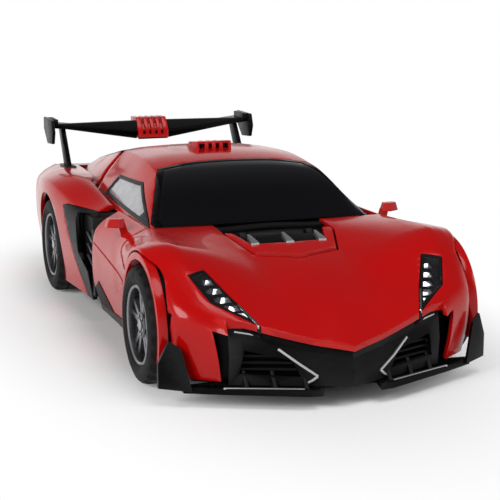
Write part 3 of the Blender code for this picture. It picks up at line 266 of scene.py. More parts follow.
def lamp_red():
    """Clear red lens of the tail lamps, ribbed, darker in its depth."""
    paint = Finish("red_lens")
    rib = paint.place.stretched(1, 1, 0).cells(1.6)
    paint.set(Base_Color=rib.tint((0.24, 0.001, 0.002), (0.62, 0.004, 0.004)), Roughness=0.16 + rib * 0.10)
    paint.set(Coat_Weight=0.12, Normal=rib.bump(0.2, 0.2), Specular_IOR_Level=0.25)
    return paint.made


def eye_glass():
    """Pale blue eye plates, cloudy."""
    paint = Finish("eye_glass")
    glow = paint.place.noise(3, 2)
    paint.set(Base_Color=glow.tint((0.20, 0.48, 0.66), (0.55, 0.80, 0.92)), Roughness=0.12 + glow * 0.1)
    paint.set(Coat_Weight=0.5, Normal=glow.bump(0.1, 0.1))
    return paint.made


def rim_metal():
    """Dark plated rim plastic with brushed, brighter edges."""
    paint = Finish("rim_metal")
    brush = paint.place.stretched(1, 1, 9).noise(3, 3)
    colour = brush.tint((0.030, 0.030, 0.033), (0.075, 0.075, 0.08))
    colour = (paint.edge * 0.7).over(colour, (0.42, 0.42, 0.44))
    paint.set(Base_Color=colour, Roughness=0.22 + brush * 0.14, Metallic=0.8, Normal=brush.bump(0.05, 0.06))
    return paint.made


def tyre_rubber():
    """Matt black rubber with dusty tread and fine mould grain."""
    paint = Finish("tyre_rubber")
    grain = paint.place.noise(0.5, 4)
    dust = paint.place.noise(6, 5).ramp(0.5, 0.8)
    colour = dust.tint((0.006, 0.006, 0.006), (0.018, 0.017, 0.016))
    colour = (paint.edge * 0.3).over(colour, (0.06, 0.058, 0.056))
    paint.set(Base_Color=colour, Roughness=0.62 + dust * 0.25, Normal=grain.bump(0.25, 0.10))
    paint.set(Specular_IOR_Level=0.15)
    return paint.made


def white_nylon():
    """Uncoloured nylon of gears and rollers, slightly yellow and waxy."""
    paint = Finish("white_nylon")
    cloud = paint.place.noise(9, 4)
    paint.set(Base_Color=cloud.tint((0.72, 0.71, 0.67), (0.84, 0.83, 0.80)), Roughness=0.38 + cloud * 0.16)
    paint.set(Normal=paint.place.noise(0.8, 3).bump(0.08, 0.08))
    return paint.made


def battery_wrap():
    """Shrink film round the battery pack, blue-grey, with creases."""
    paint = Finish("battery_wrap")
    crease = paint.place.stretched(1, 4, 1).noise(7, 4)
    paint.set(Base_Color=crease.tint((0.05, 0.08, 0.16), (0.09, 0.13, 0.23)), Roughness=0.24 + crease * 0.2)
    paint.set(Normal=crease.bump(0.35, 0.5))
    return paint.made


def board():
    """Green solder mask with paler copper tracks under it."""
    paint = Finish("circuit_board")
    lines = paint.place.stretched(0.35, 1, 0).cells(2.4).ramp(0.42, 0.47)
    paint.set(Base_Color=lines.tint((0.012, 0.10, 0.035), (0.03, 0.19, 0.07)),
              Roughness=0.34 + lines * 0.12)
    paint.set(Normal=lines.bump(0.3, 0.08))
    return paint.made


def steel_pin():
    """Bright drawn steel with fine rings from turning."""
    paint = Finish("steel_pin")
    ring = paint.place.stretched(12, 1, 1).noise(2, 2)
    paint.set(Base_Color=ring.tint((0.52, 0.52, 0.53), (0.68, 0.68, 0.69)), Roughness=0.20 + ring * 0.14,
              Metallic=1.0)
    paint.set(Normal=ring.bump(0.08, 0.05))
    return paint.made


RED = red_gloss()
BLACK = black_plastic()
GLOSS = black_gloss()
GLASS = black_glass()
SMOKE = smoke_window()
SILVER = silver_plastic()
CHROME = lamp_chrome()
LENS = clear_lens()
LAMP = lamp_red()
EYE = eye_glass()
RIM = rim_metal()
RUBBER = tyre_rubber()
NYLON = white_nylon()
WRAP = battery_wrap()
BOARD = board()
STEEL = steel_pin()


def joint_place(name):
    """A joint's place at rest, in millimetres."""
    found = next(joint for joint in frame["joints"] if joint["name"] == name)
    return Vector(found["pos_m"]) / MM


# Places in millimetres, from the frame
NOSE = CAD_BOX[0].y / MM
TAIL = CAD_BOX[1].y / MM
WHEEL_PLANE, FRONT_AXLE, AXLE_HEIGHT = joint_place("front_wheel_spin_left")
REAR_AXLE = joint_place("rear_wheel_spin_left").y
KNEE_PIVOT = joint_place("torso_lift").y
KNEE_HEIGHT = joint_place("torso_lift").z
ROOF_PIVOT = joint_place("roof_tip").y
HEAD_PIVOT = joint_place("head_turn").y
CHEST_PIVOT = joint_place("hood_level").y
ROOF_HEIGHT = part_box("roof_shell")[1].z / MM
GROUND_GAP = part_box("battery_cover")[0].z / MM
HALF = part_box("rear_shell")[1].x / MM

# The same steps between places as the frame was built with
WALL = 2.2
FIT = 0.3
SHUT_LINE = 1.0
PILLAR = 2.4
ARCH_LIP = 3.0
HOOD_REAR = FRONT_AXLE + 42
COWL_TIP = HEAD_PIVOT - 34
DOOR_REAR = REAR_AXLE - 88
BULKHEAD = REAR_AXLE - 84
ROOF_REAR = ROOF_PIVOT + 4
DECK_FRONT = ROOF_PIVOT + 12.5
DECK_REAR = TAIL - 13
ARCH_RADIUS = AXLE_HEIGHT + 2.6
SILL = GROUND_GAP + 3
FENDER_TOP = AXLE_HEIGHT + ARCH_RADIUS + ARCH_LIP + 4
HOOD_TOP = FENDER_TOP - 2
BELT = HOOD_TOP - 2
HIP_TOP = ROOF_HEIGHT - 18.5
WHEEL_INNER = WHEEL_PLANE - 10
CABIN_HALF = HALF - 20
DOOR_INNER = CABIN_HALF + 1.2
COWL_HALF = 26
COWL_TAPER = 6.5
WINDSCREEN_TOP = KNEE_PIVOT - 32
ROOF_PEAK = KNEE_PIVOT + 2
NOSE_SWEEP = 20
NOSE_CORNER = HALF - 26
BUMPER_END = NOSE_CORNER - 3
WINGLET_ROOT = HALF - 14
TORSO_BOTTOM = GROUND_GAP + 4
TORSO_TOP = TORSO_BOTTOM + 20
TORSO_REAR = BULKHEAD - 28
LEG_INNER = 22.6
LEG_OUTER = LEG_INNER + 10
LEG_FRONT = TORSO_REAR + 5.6
QUARTER_FRONT = BULKHEAD + 6 + FIT
WING_FRONT = TAIL - 24
WING_TOP = ROOF_HEIGHT + 3
WING_END = HALF - 16

# For cutting shapes: past the sides, and above everything
OUTSIDE = HALF + 9
ABOVE = ROOF_HEIGHT + 9

# Steps between two points of a section, and degrees between two pairs of spokes
SECTION_STEPS = 4
FIFTH = 72


def fair(points):
    """A smooth curve through (station, value) points that never overshoots them."""
    stations = np.array([point[0] for point in points], dtype=float)
    values = np.array([point[1] for point in points], dtype=float)
    slopes = np.diff(values) / np.diff(stations)
    tangents = np.empty(len(values))
    tangents[0] = slopes[0]
    tangents[-1] = slopes[-1]
    for index in range(1, len(slopes)):
        before, after = slopes[index - 1], slopes[index]
        tangents[index] = 2 * before * after / (before + after) if before * after > 0 else 0.0

    def value(at):
        at = min(max(at, stations[0]), stations[-1])
        index = int(min(np.searchsorted(stations, at, side="right") - 1, len(slopes) - 1))
        step = stations[index + 1] - stations[index]
        t = (at - stations[index]) / step
        start = values[index] * (1 + 2 * t) * (1 - t) ** 2 + tangents[index] * step * t * (1 - t) ** 2
        end = values[index + 1] * t * t * (3 - 2 * t) + tangents[index + 1] * step * t * t * (t - 1)
        return float(start + end)

    return value


half_width = fair(((NOSE, HALF - 30), (NOSE + 17, HALF - 26), (NOSE + 33, HALF - 8.5),
                   (FRONT_AXLE, HALF - 2.5), (HOOD_REAR + 12, HALF - 6), (BULKHEAD + 8, HALF - 5),
                   (REAR_AXLE, HALF), (TAIL, HALF - 9)))
centre_top = fair(((NOSE, HOOD_TOP - 35), (NOSE + 25, HOOD_TOP - 21.5), (FRONT_AXLE - 6, HOOD_TOP - 9),
                   (HOOD_REAR, HOOD_TOP), (BULKHEAD, BELT), (DECK_FRONT, HIP_TOP - 5), (TAIL, HIP_TOP - 7)))
crest_top = fair(((NOSE, HOOD_TOP - 36), (NOSE + 25, HOOD_TOP - 19.5), (FRONT_AXLE - 2, FENDER_TOP),
                  (HOOD_REAR, FENDER_TOP - 1.5), (BULKHEAD, BELT + 2), (REAR_AXLE - 10, HIP_TOP),
                  (TAIL, HIP_TOP - 6)))
shoulder_top = fair(((NOSE, HOOD_TOP - 41), (NOSE + 30, HOOD_TOP - 24), (FRONT_AXLE, FENDER_TOP - 5),
                     (HOOD_REAR, BELT - 8), (BULKHEAD, BELT - 10), (REAR_AXLE, HIP_TOP - 8),
                     (TAIL, HIP_TOP - 17)))
roof_top = fair(((HOOD_REAR, HOOD_TOP), (WINDSCREEN_TOP, ROOF_HEIGHT - 3.5), (ROOF_PEAK, ROOF_HEIGHT),
                 (ROOF_PIVOT - 3, ROOF_HEIGHT - 1.5), (REAR_AXLE + 14, ROOF_HEIGHT - 9),
                 (TAIL, HIP_TOP - 3)))
roof_edge = fair(((HOOD_REAR, CABIN_HALF - 6), (WINDSCREEN_TOP, CABIN_HALF - 15),
                  (ROOF_PEAK, CABIN_HALF - 17), (DECK_FRONT, CABIN_HALF - 20), (TAIL, CABIN_HALF - 27)))
cabin_half = fair(((HOOD_REAR, CABIN_HALF), (HOOD_REAR + 40, CABIN_HALF), (DECK_FRONT, CABIN_HALF - 4),
                   (TAIL, CABIN_HALF - 15)))
cabin_base = fair(((HOOD_REAR, BELT - 1), (BULKHEAD, BELT - 0.5), (DECK_FRONT, HIP_TOP - 7),
                   (TAIL, HIP_TOP - 11)))


def body_section(y):
    """Half section of the lower body, from the crease on the centre line down to the sill."""
    half, centre = half_width(y), centre_top(y)
    crest, shoulder = crest_top(y), shoulder_top(y)
    return ((0, centre + 0.8), (half * 0.30, centre), (half * 0.57, centre + (crest - centre) * 0.55),
            (half * 0.83, crest), (half * 0.94, (crest + shoulder) / 2 + 1.2), (half, shoulder),
            (half, (shoulder + SILL) / 2), (half - 3, SILL))


def cabin_section(y):
    """Half section of the cabin and engine deck, from the roof line to the belt."""
    top, edge, half, base = roof_top(y), roof_edge(y), cabin_half(y), cabin_base(y)
    drop = (top - base) * 0.10
    return ((0, top), (edge * 0.6, top - drop * 0.25), (edge, top - drop),
            ((edge + half) / 2 + 1, (top - drop) * 0.52 + base * 0.48), (half, base))


# Points that stay corners, by the number of points in the section
CREASES = {8: (2, 4), 5: (3,)}


def smooth_section(section):
    """A section rounded between its points, with the points kept and the fender's crest left crisp."""
    points = [Vector(point) for point in section]
    ends = [Vector((-points[1].x, points[1].y)), *points, 2 * points[-1] - points[-2]]
    rounded = []
    for index in range(1, len(ends) - 2):
        before, start, end, after = ends[index - 1:index + 3]
        if index in CREASES[len(points)]:
            before = 2 * start - end
        if index + 1 in CREASES[len(points)]:
            after = 2 * end - start
        for step in range(SECTION_STEPS):
            t = step / SECTION_STEPS
            bend = (2 * start + (end - before) * t + (2 * before - 5 * start + 4 * end - after) * t * t
                    + (3 * start - before - 3 * end + after) * t ** 3) / 2
            rounded.append((max(bend.x, 0.0), bend.y))
    rounded.append(tuple(points[-1]))
    return rounded


def surface_height(section, x, y):
    """Height of a skin's outer side over a point of the plan."""
    across = smooth_section(section(y))
    top = next((i for i, point in enumerate(across) if point[0] >= abs(x)), len(across) - 1)
    if top == 0:
        return across[0][1]
    (x0, z0), (x1, z1) = across[top - 1], across[top]
    return z0 + (z1 - z0) * (abs(x) - x0) / max(x1 - x0, 1e-6)


def mesh_object(name, bm):
    """An object in the scene from a finished bmesh, which is used up."""
    mesh = bpy.data.meshes.new(name)
    bm.to_mesh(mesh)
    bm.free()
    made = bpy.data.objects.new(name, mesh)
    bpy.context.scene.collection.objects.link(made)
    return made


def settle(made):
    """Turns an object's modifiers into its mesh."""
    graph = bpy.context.evaluated_depsgraph_get()
    solid = bpy.data.meshes.new_from_object(made.evaluated_get(graph))
    made.modifiers.clear()
    made.data = solid
    return made


def turn_to(axis):
    """Rotation that lays a shape built along Z along the named axis."""
    if axis == "X":
        return Matrix(((0, 0, 1, 0), (1, 0, 0, 0), (0, 1, 0, 0), (0, 0, 0, 1)))
    if axis == "Y":
        return Matrix(((1, 0, 0, 0), (0, 0, -1, 0), (0, 1, 0, 0), (0, 0, 0, 1)))
    return Matrix.Identity(4)


def prism(axis, outline, low, high, taper=0.0):
    """A flat outline pushed along an axis: X takes (y, z), Y takes (x, z), Z takes (x, y)."""
    bm = bmesh.new()
    sign = -1 if axis == "Y" else 1
    middle = [sum(point[i] for point in outline) / len(outline) for i in (0, 1)]
    rings = []
    for level, shrink in ((low, 0.0), (high, taper)):
        ring = [(middle[0] + (a - middle[0]) * (1 - shrink), middle[1] + (b - middle[1]) * (1 - shrink))
                for a, b in outline]
        rings.append([bm.verts.new((a * MM, b * MM, level * sign * MM)) for a, b in ring])
    bm.faces.new(rings[0])
    bm.faces.new(rings[1][::-1])
    count = len(outline)
    for i in range(count):
        bm.faces.new((rings[0][i], rings[1][i], rings[1][(i + 1) % count], rings[0][(i + 1) % count]))
    bmesh.ops.recalc_face_normals(bm, faces=bm.faces)
    bm.transform(turn_to(axis))
    return mesh_object("prism", bm)


def block(low, high):
    """A box between two corners."""
    plan = ((low[0], low[1]), (high[0], low[1]), (high[0], high[1]), (low[0], high[1]))
    return prism("Z", plan, low[2], high[2])


def bar(x, half, low, high):
    """A box that reaches half to either side of x, between two (y, z) corners."""
    return block((x - half, *low), (x + half, *high))


def rod(axis, centre, radius, low, high, sides=24, taper=0.0):
    """A round bar along an axis."""
    return prism(axis, arc(centre, radius, 0, 360 - 360 / sides, sides - 1), low, high, taper)


def on_circle(centre, radius, degrees):
    """A point of a circle."""
    angle = math.radians(degrees)
    return centre[0] + radius * math.cos(angle), centre[1] + radius * math.sin(angle)


def arc(centre, radius, start, end, steps):
    """Points on an arc, angles in degrees."""
    return [on_circle(centre, radius, start + (end - start) * step / steps) for step in range(steps + 1)]


def rayed(root, degrees, steps):
    """An outline drawn along a ray from root, from (along, aside) steps."""
    along = Vector(on_circle((0, 0), 1, degrees))
    aside = Vector((-along.y, along.x))
    return [tuple(Vector(root) + along * out + aside * off) for out, off in steps]


def flip(outline, side):
    """An outline drawn for the left side, on either side."""
    turned_over = [(across * side, other) for across, other in outline]
    return turned_over if side > 0 else turned_over[::-1]


def sided(axis, outline, side, low, high):
    """A prism of an outline drawn for the left side, on either side."""
    return prism(axis, flip(outline, side), low, high)


def sideways(side, near, far):
    """The two X places of something that lies from near to far on one side, the lower one first."""
    return sorted((side * near, side * far))


def upright(outline, side, near, far):
    """A side view made thick, from near to far on one side."""
    return prism("X", outline, *sideways(side, near, far))


def side_bar(side, near, far, low, high):
    """A box from near to far on one side, between two (y, z) corners."""
    left, right = sideways(side, near, far)
    return block((left, *low), (right, *high))


def placed(outline, first, second):
    """An outline drawn from the place (first, second)."""
    return [(first + a, second + b) for a, b in outline]


def mirrored(half):
    """A half outline and its mirror image; points on the centre line stay single."""
    return half + [(-x, other) for x, other in half[::-1] if x]


def column(outline, top=ROOF_HEIGHT):
    """A plan pushed up from the ground, to cut skins with."""
    return prism("Z", outline, 0, top)


def spread(outline, distance):
    """An outline moved outwards by the same distance all round."""
    count = len(outline)
    area = sum(outline[i - 1][0] * outline[i][1] - outline[i][0] * outline[i - 1][1] for i in range(count))
    turn = 1 if area > 0 else -1
    moved = []
    for index in range(count):
        here = Vector(outline[index])
        before = (here - Vector(outline[index - 1])).normalized()
        after = (Vector(outline[(index + 1) % count]) - here).normalized()
        normal = Vector((before.y + after.y, -before.x - after.x)) * turn
        moved.append(tuple(here + normal * (distance * 2 / normal.length_squared)))
    return moved


def skin(section, first, last, rows, lift=0.0, wall=WALL):
    """A smooth shell through many sections, both sides, lifted or sunk by a small distance."""
    bm = bmesh.new()
    lines = []
    for row in range(rows):
        y = first + (last - first) * row / (rows - 1)
        half = smooth_section(section(y))
        whole = [(-x, z) for x, z in half[:0:-1]] + half
        lines.append([bm.verts.new((x * MM, y * MM, z * MM)) for x, z in whole])
    for front, back in zip(lines, lines[1:]):
        for k in range(len(front) - 1):
            bm.faces.new((front[k], front[k + 1], back[k + 1], back[k]))
    bm.normal_update()
    if lift:
        for vert, normal in [(vert, vert.normal.copy()) for vert in bm.verts]:
            vert.co += normal * lift * MM
    made = mesh_object("skin", bm)
    shell = made.modifiers.new("wall", "SOLIDIFY")
    shell.thickness = wall * MM
    shell.offset = -1
    shell.use_even_offset = True
    return settle(made)


def carve(target, keeps=(), cuts=(), joins=()):
    """Keeps, cuts or joins a shape with others, which are used up."""
    steps = [(other, "INTERSECT") for other in keeps]
    steps += [(other, "DIFFERENCE") for other in cuts]
    steps += [(other, "UNION") for other in joins]
    for other, operation in steps:
        step = target.modifiers.new(operation, "BOOLEAN")
        step.operation = operation
        step.solver = "EXACT"
        step.object = other
        settle(target)
        bpy.data.objects.remove(other)
    return target


def dress(made, width, sharp, segments):
    """Rounds edges of more than sharp degrees by width and smooths the shading between them."""
    bm = bmesh.new()
    bm.from_mesh(made.data)
    bmesh.ops.remove_doubles(bm, verts=bm.verts, dist=0.02 * MM)
    bmesh.ops.dissolve_degenerate(bm, edges=bm.edges, dist=0.04 * MM)
    limit = math.radians(sharp)
    if width:
        hard = [edge for edge in bm.edges if len(edge.link_faces) == 2 and edge.calc_face_angle(0) > limit]
        bmesh.ops.bevel(bm, geom=hard, offset=width * MM, offset_type="OFFSET", segments=segments,
                        profile=0.6, affect="EDGES", clamp_overlap=True, loop_slide=True)
    for face in bm.faces:
        face.smooth = True
    bm.to_mesh(made.data)
    bm.free()
    made.data.set_sharp_from_angle(angle=limit)


def merge(shapes):
    """Several loose shapes as one mesh."""
    bm = bmesh.new()
    for shape in shapes:
        bm.from_mesh(shape.data)
        bpy.data.objects.remove(shape)
    return mesh_object("merged", bm)


def piece(name, made, width, finish, body, *replaced, slot=None, sharp=38, segments=2):
    """Makes a shape, or a list of shapes, into one named piece that hangs on its body."""
    if isinstance(made, list):
        made = merge(made)
    dress(made, width, sharp, segments)
    made.name = name
    made.data.name = name
    made.data.materials.clear()
    made.data.materials.append(finish)
    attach(made, body)
    if replaced:
        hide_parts(*replaced)


SIDES = (("left", 1), ("right", -1))


def nose_line(x, back):
    """The swept front edge of the hood in plan."""
    return NOSE + back + NOSE_SWEEP * min(abs(x) / NOSE_CORNER, 1.0) + max(abs(x) - NOSE_CORNER, 0) * 0.6


def cowl_outline(rear):
    """Plan of the hood's panel that carries the head."""
    corner = COWL_HALF - COWL_TAPER
    corner_y = COWL_TIP + COWL_TAPER
    return ((0, COWL_TIP), (corner, corner_y), (COWL_HALF, HEAD_PIVOT - COWL_TAPER), (COWL_HALF, rear),
            (-COWL_HALF, rear), (-COWL_HALF, HEAD_PIVOT - COWL_TAPER), (-corner, corner_y))


def scoop_outline(grow):
    """Plan of the black scoop sunk in the V panel, open at its rear edge."""
    front, rear = HEAD_PIVOT - 19 - grow, HEAD_PIVOT - 2
    return ((-22.6 - grow, rear), (-18 - grow, front + 1.8), (0, front), (18 + grow, front + 1.8),
            (22.6 + grow, rear))


def headlight_outline(side):
    """Plan of one lamp."""
    inner, outer = NOSE_CORNER - 15, NOSE_CORNER + 8
    return flip(((inner, NOSE + 16), (outer - 6, NOSE + 29), (outer, FRONT_AXLE - 24),
                 (outer - 8, FRONT_AXLE - 20), (inner + 6, FRONT_AXLE - 37)), side)


def hood_side_outline():
    """Side view of the hood: over the bumper, round the wheel arch and back to the door."""
    lip = ARCH_RADIUS + ARCH_LIP + SHUT_LINE
    return [(NOSE - 5, HOOD_TOP - 40), (NOSE + 12, HOOD_TOP - 37), (NOSE + 14, SILL - 1),
            (FRONT_AXLE - lip + 3, SILL - 1), (FRONT_AXLE - lip, AXLE_HEIGHT + 12),
            (FRONT_AXLE + lip * 0.82, AXLE_HEIGHT + 18.5), (HOOD_REAR, BELT - 6.5),
            (HOOD_REAR, ROOF_HEIGHT), (NOSE - 5, ROOF_HEIGHT)]


def hood_skin(lift=0.0, wall=WALL):
    """The lower body's skin over the hood, to be cut."""
    return skin(body_section, NOSE, HOOD_REAR, 40, lift, wall)


def hood_window():
    """The space that the hood's own panels fill, in side view."""
    return prism("X", hood_side_outline(), -HALF - 5, HALF + 5)


def hood_cut(made, inset=0.0):
    """Trims a hood skin to its front edge, its side view, the arches, the lamps and the V panel."""
    edge = [(x, nose_line(x, 2.0 + inset)) for x in (0, BUMPER_END + 1.5)]
    edge += [(BUMPER_END + 2, NOSE + 8), (HALF + 5, NOSE + 8)]
    front = [(-x, y) for x, y in edge[:0:-1]] + edge
    rear = HOOD_REAR - inset if inset else HOOD_REAR + 5
    keeps = [column(front + [(HALF + 5, rear), (-HALF - 5, rear)]), hood_window()]
    cuts = [column(spread(cowl_outline(HOOD_REAR + 5), SHUT_LINE + inset))]
    arch = ARCH_RADIUS + ARCH_LIP + SHUT_LINE + inset
    for _, side in SIDES:
        span = sideways(side, WHEEL_INNER + 1.7, OUTSIDE)
        cuts.append(rod("X", (FRONT_AXLE, AXLE_HEIGHT), arch, *span, 96))
        cuts.append(column(spread(headlight_outline(side), FIT + inset)))
        corner = ((BUMPER_END - 9, SILL - 5), (BUMPER_END + 2.6, SILL - 5), (BUMPER_END + 7, HOOD_TOP - 27),
                  (BUMPER_END - 9, HOOD_TOP - 31))
        cuts.append(sided("Y", corner, side, NOSE - 3, NOSE + 26.3))
    return carve(made, keeps, cuts)


def hood_panels():
    """Red hood and fenders, the head's V panel with its lip and sunk scoop, and black liners inside."""
    piece("hood_panel", hood_cut(hood_skin()), 0.35, RED, "hood", "hood_shell")
    piece("hood_liner", hood_cut(hood_skin(-WALL, 0.4), 1.0), 0, BLACK, "hood")
    rear = HEAD_PIVOT - 3
    outline = cowl_outline(rear)
    notch = [(x, min(y, rear)) for x, y in scoop_outline(0)]
    plan = prism("Z", [*outline[:4], *notch[::-1], *outline[4:]], -1, ROOF_HEIGHT + 1)
    piece("cowl_panel", carve(hood_skin(), [plan]), 0.35, RED, "head", "head_cowl")
    corner, corner_y = outline[1]
    lip = [(0, COWL_TIP + 0.1), (corner, corner_y + 0.1), (corner - 0.9, corner_y + 1.2),
           (0, COWL_TIP + 1.5), (0.9 - corner, corner_y + 1.2), (-corner, corner_y + 0.1)]
    band = prism("Z", lip, -1, ROOF_HEIGHT + 1)
    piece("cowl_lip", carve(hood_skin(0.7, 1.1), [band]), 0.25, RED, "head")
    liner = carve(hood_skin(-WALL, 0.4), [column(spread(cowl_outline(rear), -0.8))])
    piece("cowl_liner", liner, 0, BLACK, "head")
    front_part = bar(0, COWL_HALF, (COWL_TIP, 0), (HEAD_PIVOT - 6.4, ROOF_HEIGHT))
    tray = carve(hood_skin(-1.4, 0.8), [column(scoop_outline(-0.1)), front_part])
    piece("scoop_tray", tray, 0.1, GLOSS, "head")
    fins = []
    for x, front in ((-16.4, -18.4), (0, -19.6), (16.4, -18.4)):
        outline = placed(((-1.9, 0), (1.9, 0), (0.6, 10), (-0.6, 10)), x, HEAD_PIVOT + front)
        fins.append(carve(hood_skin(0.9, 2.4), [column(outline)]))
    piece("scoop_fins", fins, 0.2, SILVER, "head")


def cabin_skin(lift=0.0, wall=WALL):
    """The cabin's skin from the hood to the rear of the roof, to be cut."""
    return skin(cabin_section, HOOD_REAR + SHUT_LINE, ROOF_REAR, 44, lift, wall)


def windscreen_outline():
    """Plan of the windscreen with its border."""
    foot, shoulder = CABIN_HALF - 4, CABIN_HALF - 18
    top = WINDSCREEN_TOP + 6
    front = HOOD_REAR - 5
    half = [(0, front), (foot, front), (foot + 1, HOOD_REAR + 10), (shoulder, top),
            (shoulder * 0.5, top + 3), (0, top + 3.5)]
    return mirrored(half)


def side_window_outline():
    """Side view of the glass, a pointed wedge under the roof's edge."""
    return [(HOOD_REAR + 15, BELT + 2.6), (ROOF_PIVOT - 18, BELT + 4.4),
            (ROOF_PIVOT - 26, ROOF_HEIGHT - 14.5), (WINDSCREEN_TOP + 6, ROOF_HEIGHT - 12.5)]


def side_window_shape(grow, side):
    """Block that cuts one side window, stopping short of the windscreen by the pillar between them."""
    span = sideways(side, CABIN_HALF - 26, CABIN_HALF + 9)
    pillar = column(spread(windscreen_outline(), PILLAR - grow), ABOVE)
    return carve(prism("X", spread(side_window_outline(), grow), *span), cuts=[pillar])


def cabin_panels():
    """Red roof with its pillars, the windscreen in its black border and the side glass."""
    cuts = [column(spread(windscreen_outline(), FIT), ABOVE)]
    cuts += [side_window_shape(FIT, side) for _, side in SIDES]
    roof = carve(cabin_skin(), cuts=cuts)
    piece("roof_panel", roof, 0.35, RED, "roof", "roof_shell")
    border_width = 3.2
    inner = spread(windscreen_outline(), -border_width)
    band = carve(cabin_skin(), [column(windscreen_outline(), ABOVE)], [column(inner, ABOVE)])
    piece("windscreen_border", band, 0.2, GLOSS, "roof")
    glass = carve(cabin_skin(-0.15), [column(spread(inner, -0.05), ABOVE)])
    piece("windscreen_glass", glass, 0.15, GLASS, "roof", "windscreen")
    inside = skin(cabin_section, HOOD_REAR + 4, ROOF_REAR - 2, 30, -WALL, 0.5)
    piece("roof_liner", inside, 0, BLACK, "roof")
    corner_view = placed(((12, 1), (31, 1.6), (24, 7.4)), HOOD_REAR, BELT)
    for name, side in SIDES:
        pane = carve(cabin_skin(-0.3), [side_window_shape(0, side)])
        piece(f"side_glass_{name}", pane, 0.2, SMOKE, "roof", f"side_window_{name}")
        frame_ring = carve(cabin_skin(0.3, 0.9), [side_window_shape(1.3, side)],
                           [side_window_shape(-0.2, side)])
        corner = upright(corner_view, side, CABIN_HALF - 26, CABIN_HALF + 9)
        fill = carve(cabin_skin(0.1, 0.9), [side_window_shape(0.4, side), corner])
        piece(f"window_frame_{name}", [frame_ring, fill], 0.15, GLOSS, "roof")


def deck_opening(grow, rear):
    """Plan of the hole between the rear quarters."""
    half = [(CABIN_HALF + grow, BULKHEAD - 5), (CABIN_HALF + grow, DECK_FRONT - 12),
            (cabin_half(DECK_FRONT) + grow, DECK_FRONT), (cabin_half(rear) + grow, rear + grow)]
    return mirrored(half)


def blade_outline():
    """Side view of the black panel behind each door, slanting back to the hip."""
    front = QUARTER_FRONT
    return [(front - 1, SILL - 1), (front + 10, SILL - 1), (front + 42, BELT - 3.6), (front + 36, BELT - 2),
            (front - 1, BELT - 1)]


def deck_skin():
    """The cabin's skin over the engine, to be cut."""
    return skin(cabin_section, DECK_FRONT, DECK_REAR - 0.2, 30)


def rear_panels():
    """Red rear quarters and deck sides, the slotted black engine deck and the wall under its front edge."""
    front = QUARTER_FRONT
    cuts = [column(deck_opening(0.6, DECK_REAR), ABOVE)]
    for _, side in SIDES:
        span = sideways(side, WHEEL_INNER - 4, OUTSIDE)
        cuts.append(rod("X", (REAR_AXLE, AXLE_HEIGHT), ARCH_RADIUS + 1, *span, 96))
        cuts.append(prism("X", spread(blade_outline(), 0.3), *span))
    quarters = carve(skin(body_section, front, TAIL, 48), cuts=cuts)
    piece("rear_quarters", quarters, 0.35, RED, "rear_body", "rear_shell")
    cuts = []
    for row in range(4):
        y = DECK_FRONT + 12 + row * 13
        cuts.append(bar(0, 22 - row * 2, (y, 0), (y + 5, ABOVE)))
    stations = [DECK_FRONT - 1 + (DECK_REAR - DECK_FRONT + 2) * row / 12 for row in range(13)]
    edge = [(roof_edge(y) + 0.6, y) for y in stations]
    middle = mirrored(edge)
    sides = carve(deck_skin(), cuts=[column(spread(middle, 0.25), ABOVE)])
    piece("deck_sides", sides, 0.3, RED, "rear_body")
    cover = carve(deck_skin(), [column(middle, ABOVE)], cuts)
    piece("engine_deck", cover, 0.3, GLOSS, "rear_body", "engine_cover")
    half = [(max(x - 2.6, 0.0), z - 2.4) for x, z in cabin_section(DECK_FRONT + 2)]
    half.append((half[-1][0], BELT - 12))
    wall = prism("Y", mirrored(half), DECK_FRONT + 1, DECK_FRONT + 2.4)
    piece("deck_wall", wall, 0.2, BLACK, "rear_body")


def door_skin(lift=0.0, wall=WALL):
    """The lower body's skin along the doors, to be cut."""
    return skin(body_section, FRONT_AXLE + 20, DOOR_REAR + 4, 30, lift, wall)


def doors():
    """Red doors with the thin arch lip in front."""
    axle = (FRONT_AXLE, AXLE_HEIGHT)
    ring = ARCH_RADIUS + ARCH_LIP
    for name, side in SIDES:
        span = sideways(side, DOOR_INNER, OUTSIDE)
        outline = [(FRONT_AXLE + ARCH_RADIUS + 2, SILL - 1), (DOOR_REAR - 9, SILL - 1),
                   (DOOR_REAR, SILL + 12), (DOOR_REAR - 9, BELT + 9), (HOOD_REAR + SHUT_LINE, BELT + 9),
                   (HOOD_REAR + SHUT_LINE, BELT - 7.5), (FRONT_AXLE + ring * 0.86, AXLE_HEIGHT + 16.5),
                   *arc(axle, ring - 1, 28, -12, 12)]
        shell = carve(door_skin(), [prism("X", outline, *span)])
        lip = [*arc(axle, ring, -22, 200, 64), *arc(axle, ARCH_RADIUS, 200, -22, 64)]
        lip = upright(lip, side, HALF - 7, HALF - 3)
        panel = carve(shell, joins=[lip])
        piece(f"door_panel_{name}", panel, 0.35, RED, f"arm_{name}", f"door_{name}")


def strip(points, width, depth, up=(0, 0, 1)):
    """A thin bar along a line of (x, y, z) points: width along up, depth across it."""
    bm = bmesh.new()
    places = [Vector(point) for point in points]
    rings = []
    for index, place in enumerate(places):
        ahead = places[min(index + 1, len(places) - 1)] - places[max(index - 1, 0)]
        across = ahead.cross(Vector(up)).normalized() * depth / 2
        lift = across.cross(ahead).normalized() * width / 2
        corners = (place + across + lift, place - across + lift, place - across - lift,
                   place + across - lift)
        rings.append([bm.verts.new(corner * MM) for corner in corners])
    for near, far in zip(rings, rings[1:]):
        for k in range(4):
            bm.faces.new((near[k], near[(k + 1) % 4], far[(k + 1) % 4], far[k]))
    bm.faces.new(rings[0][::-1])
    bm.faces.new(rings[-1])
    bmesh.ops.recalc_face_normals(bm, faces=bm.faces)
    return mesh_object("strip", bm)


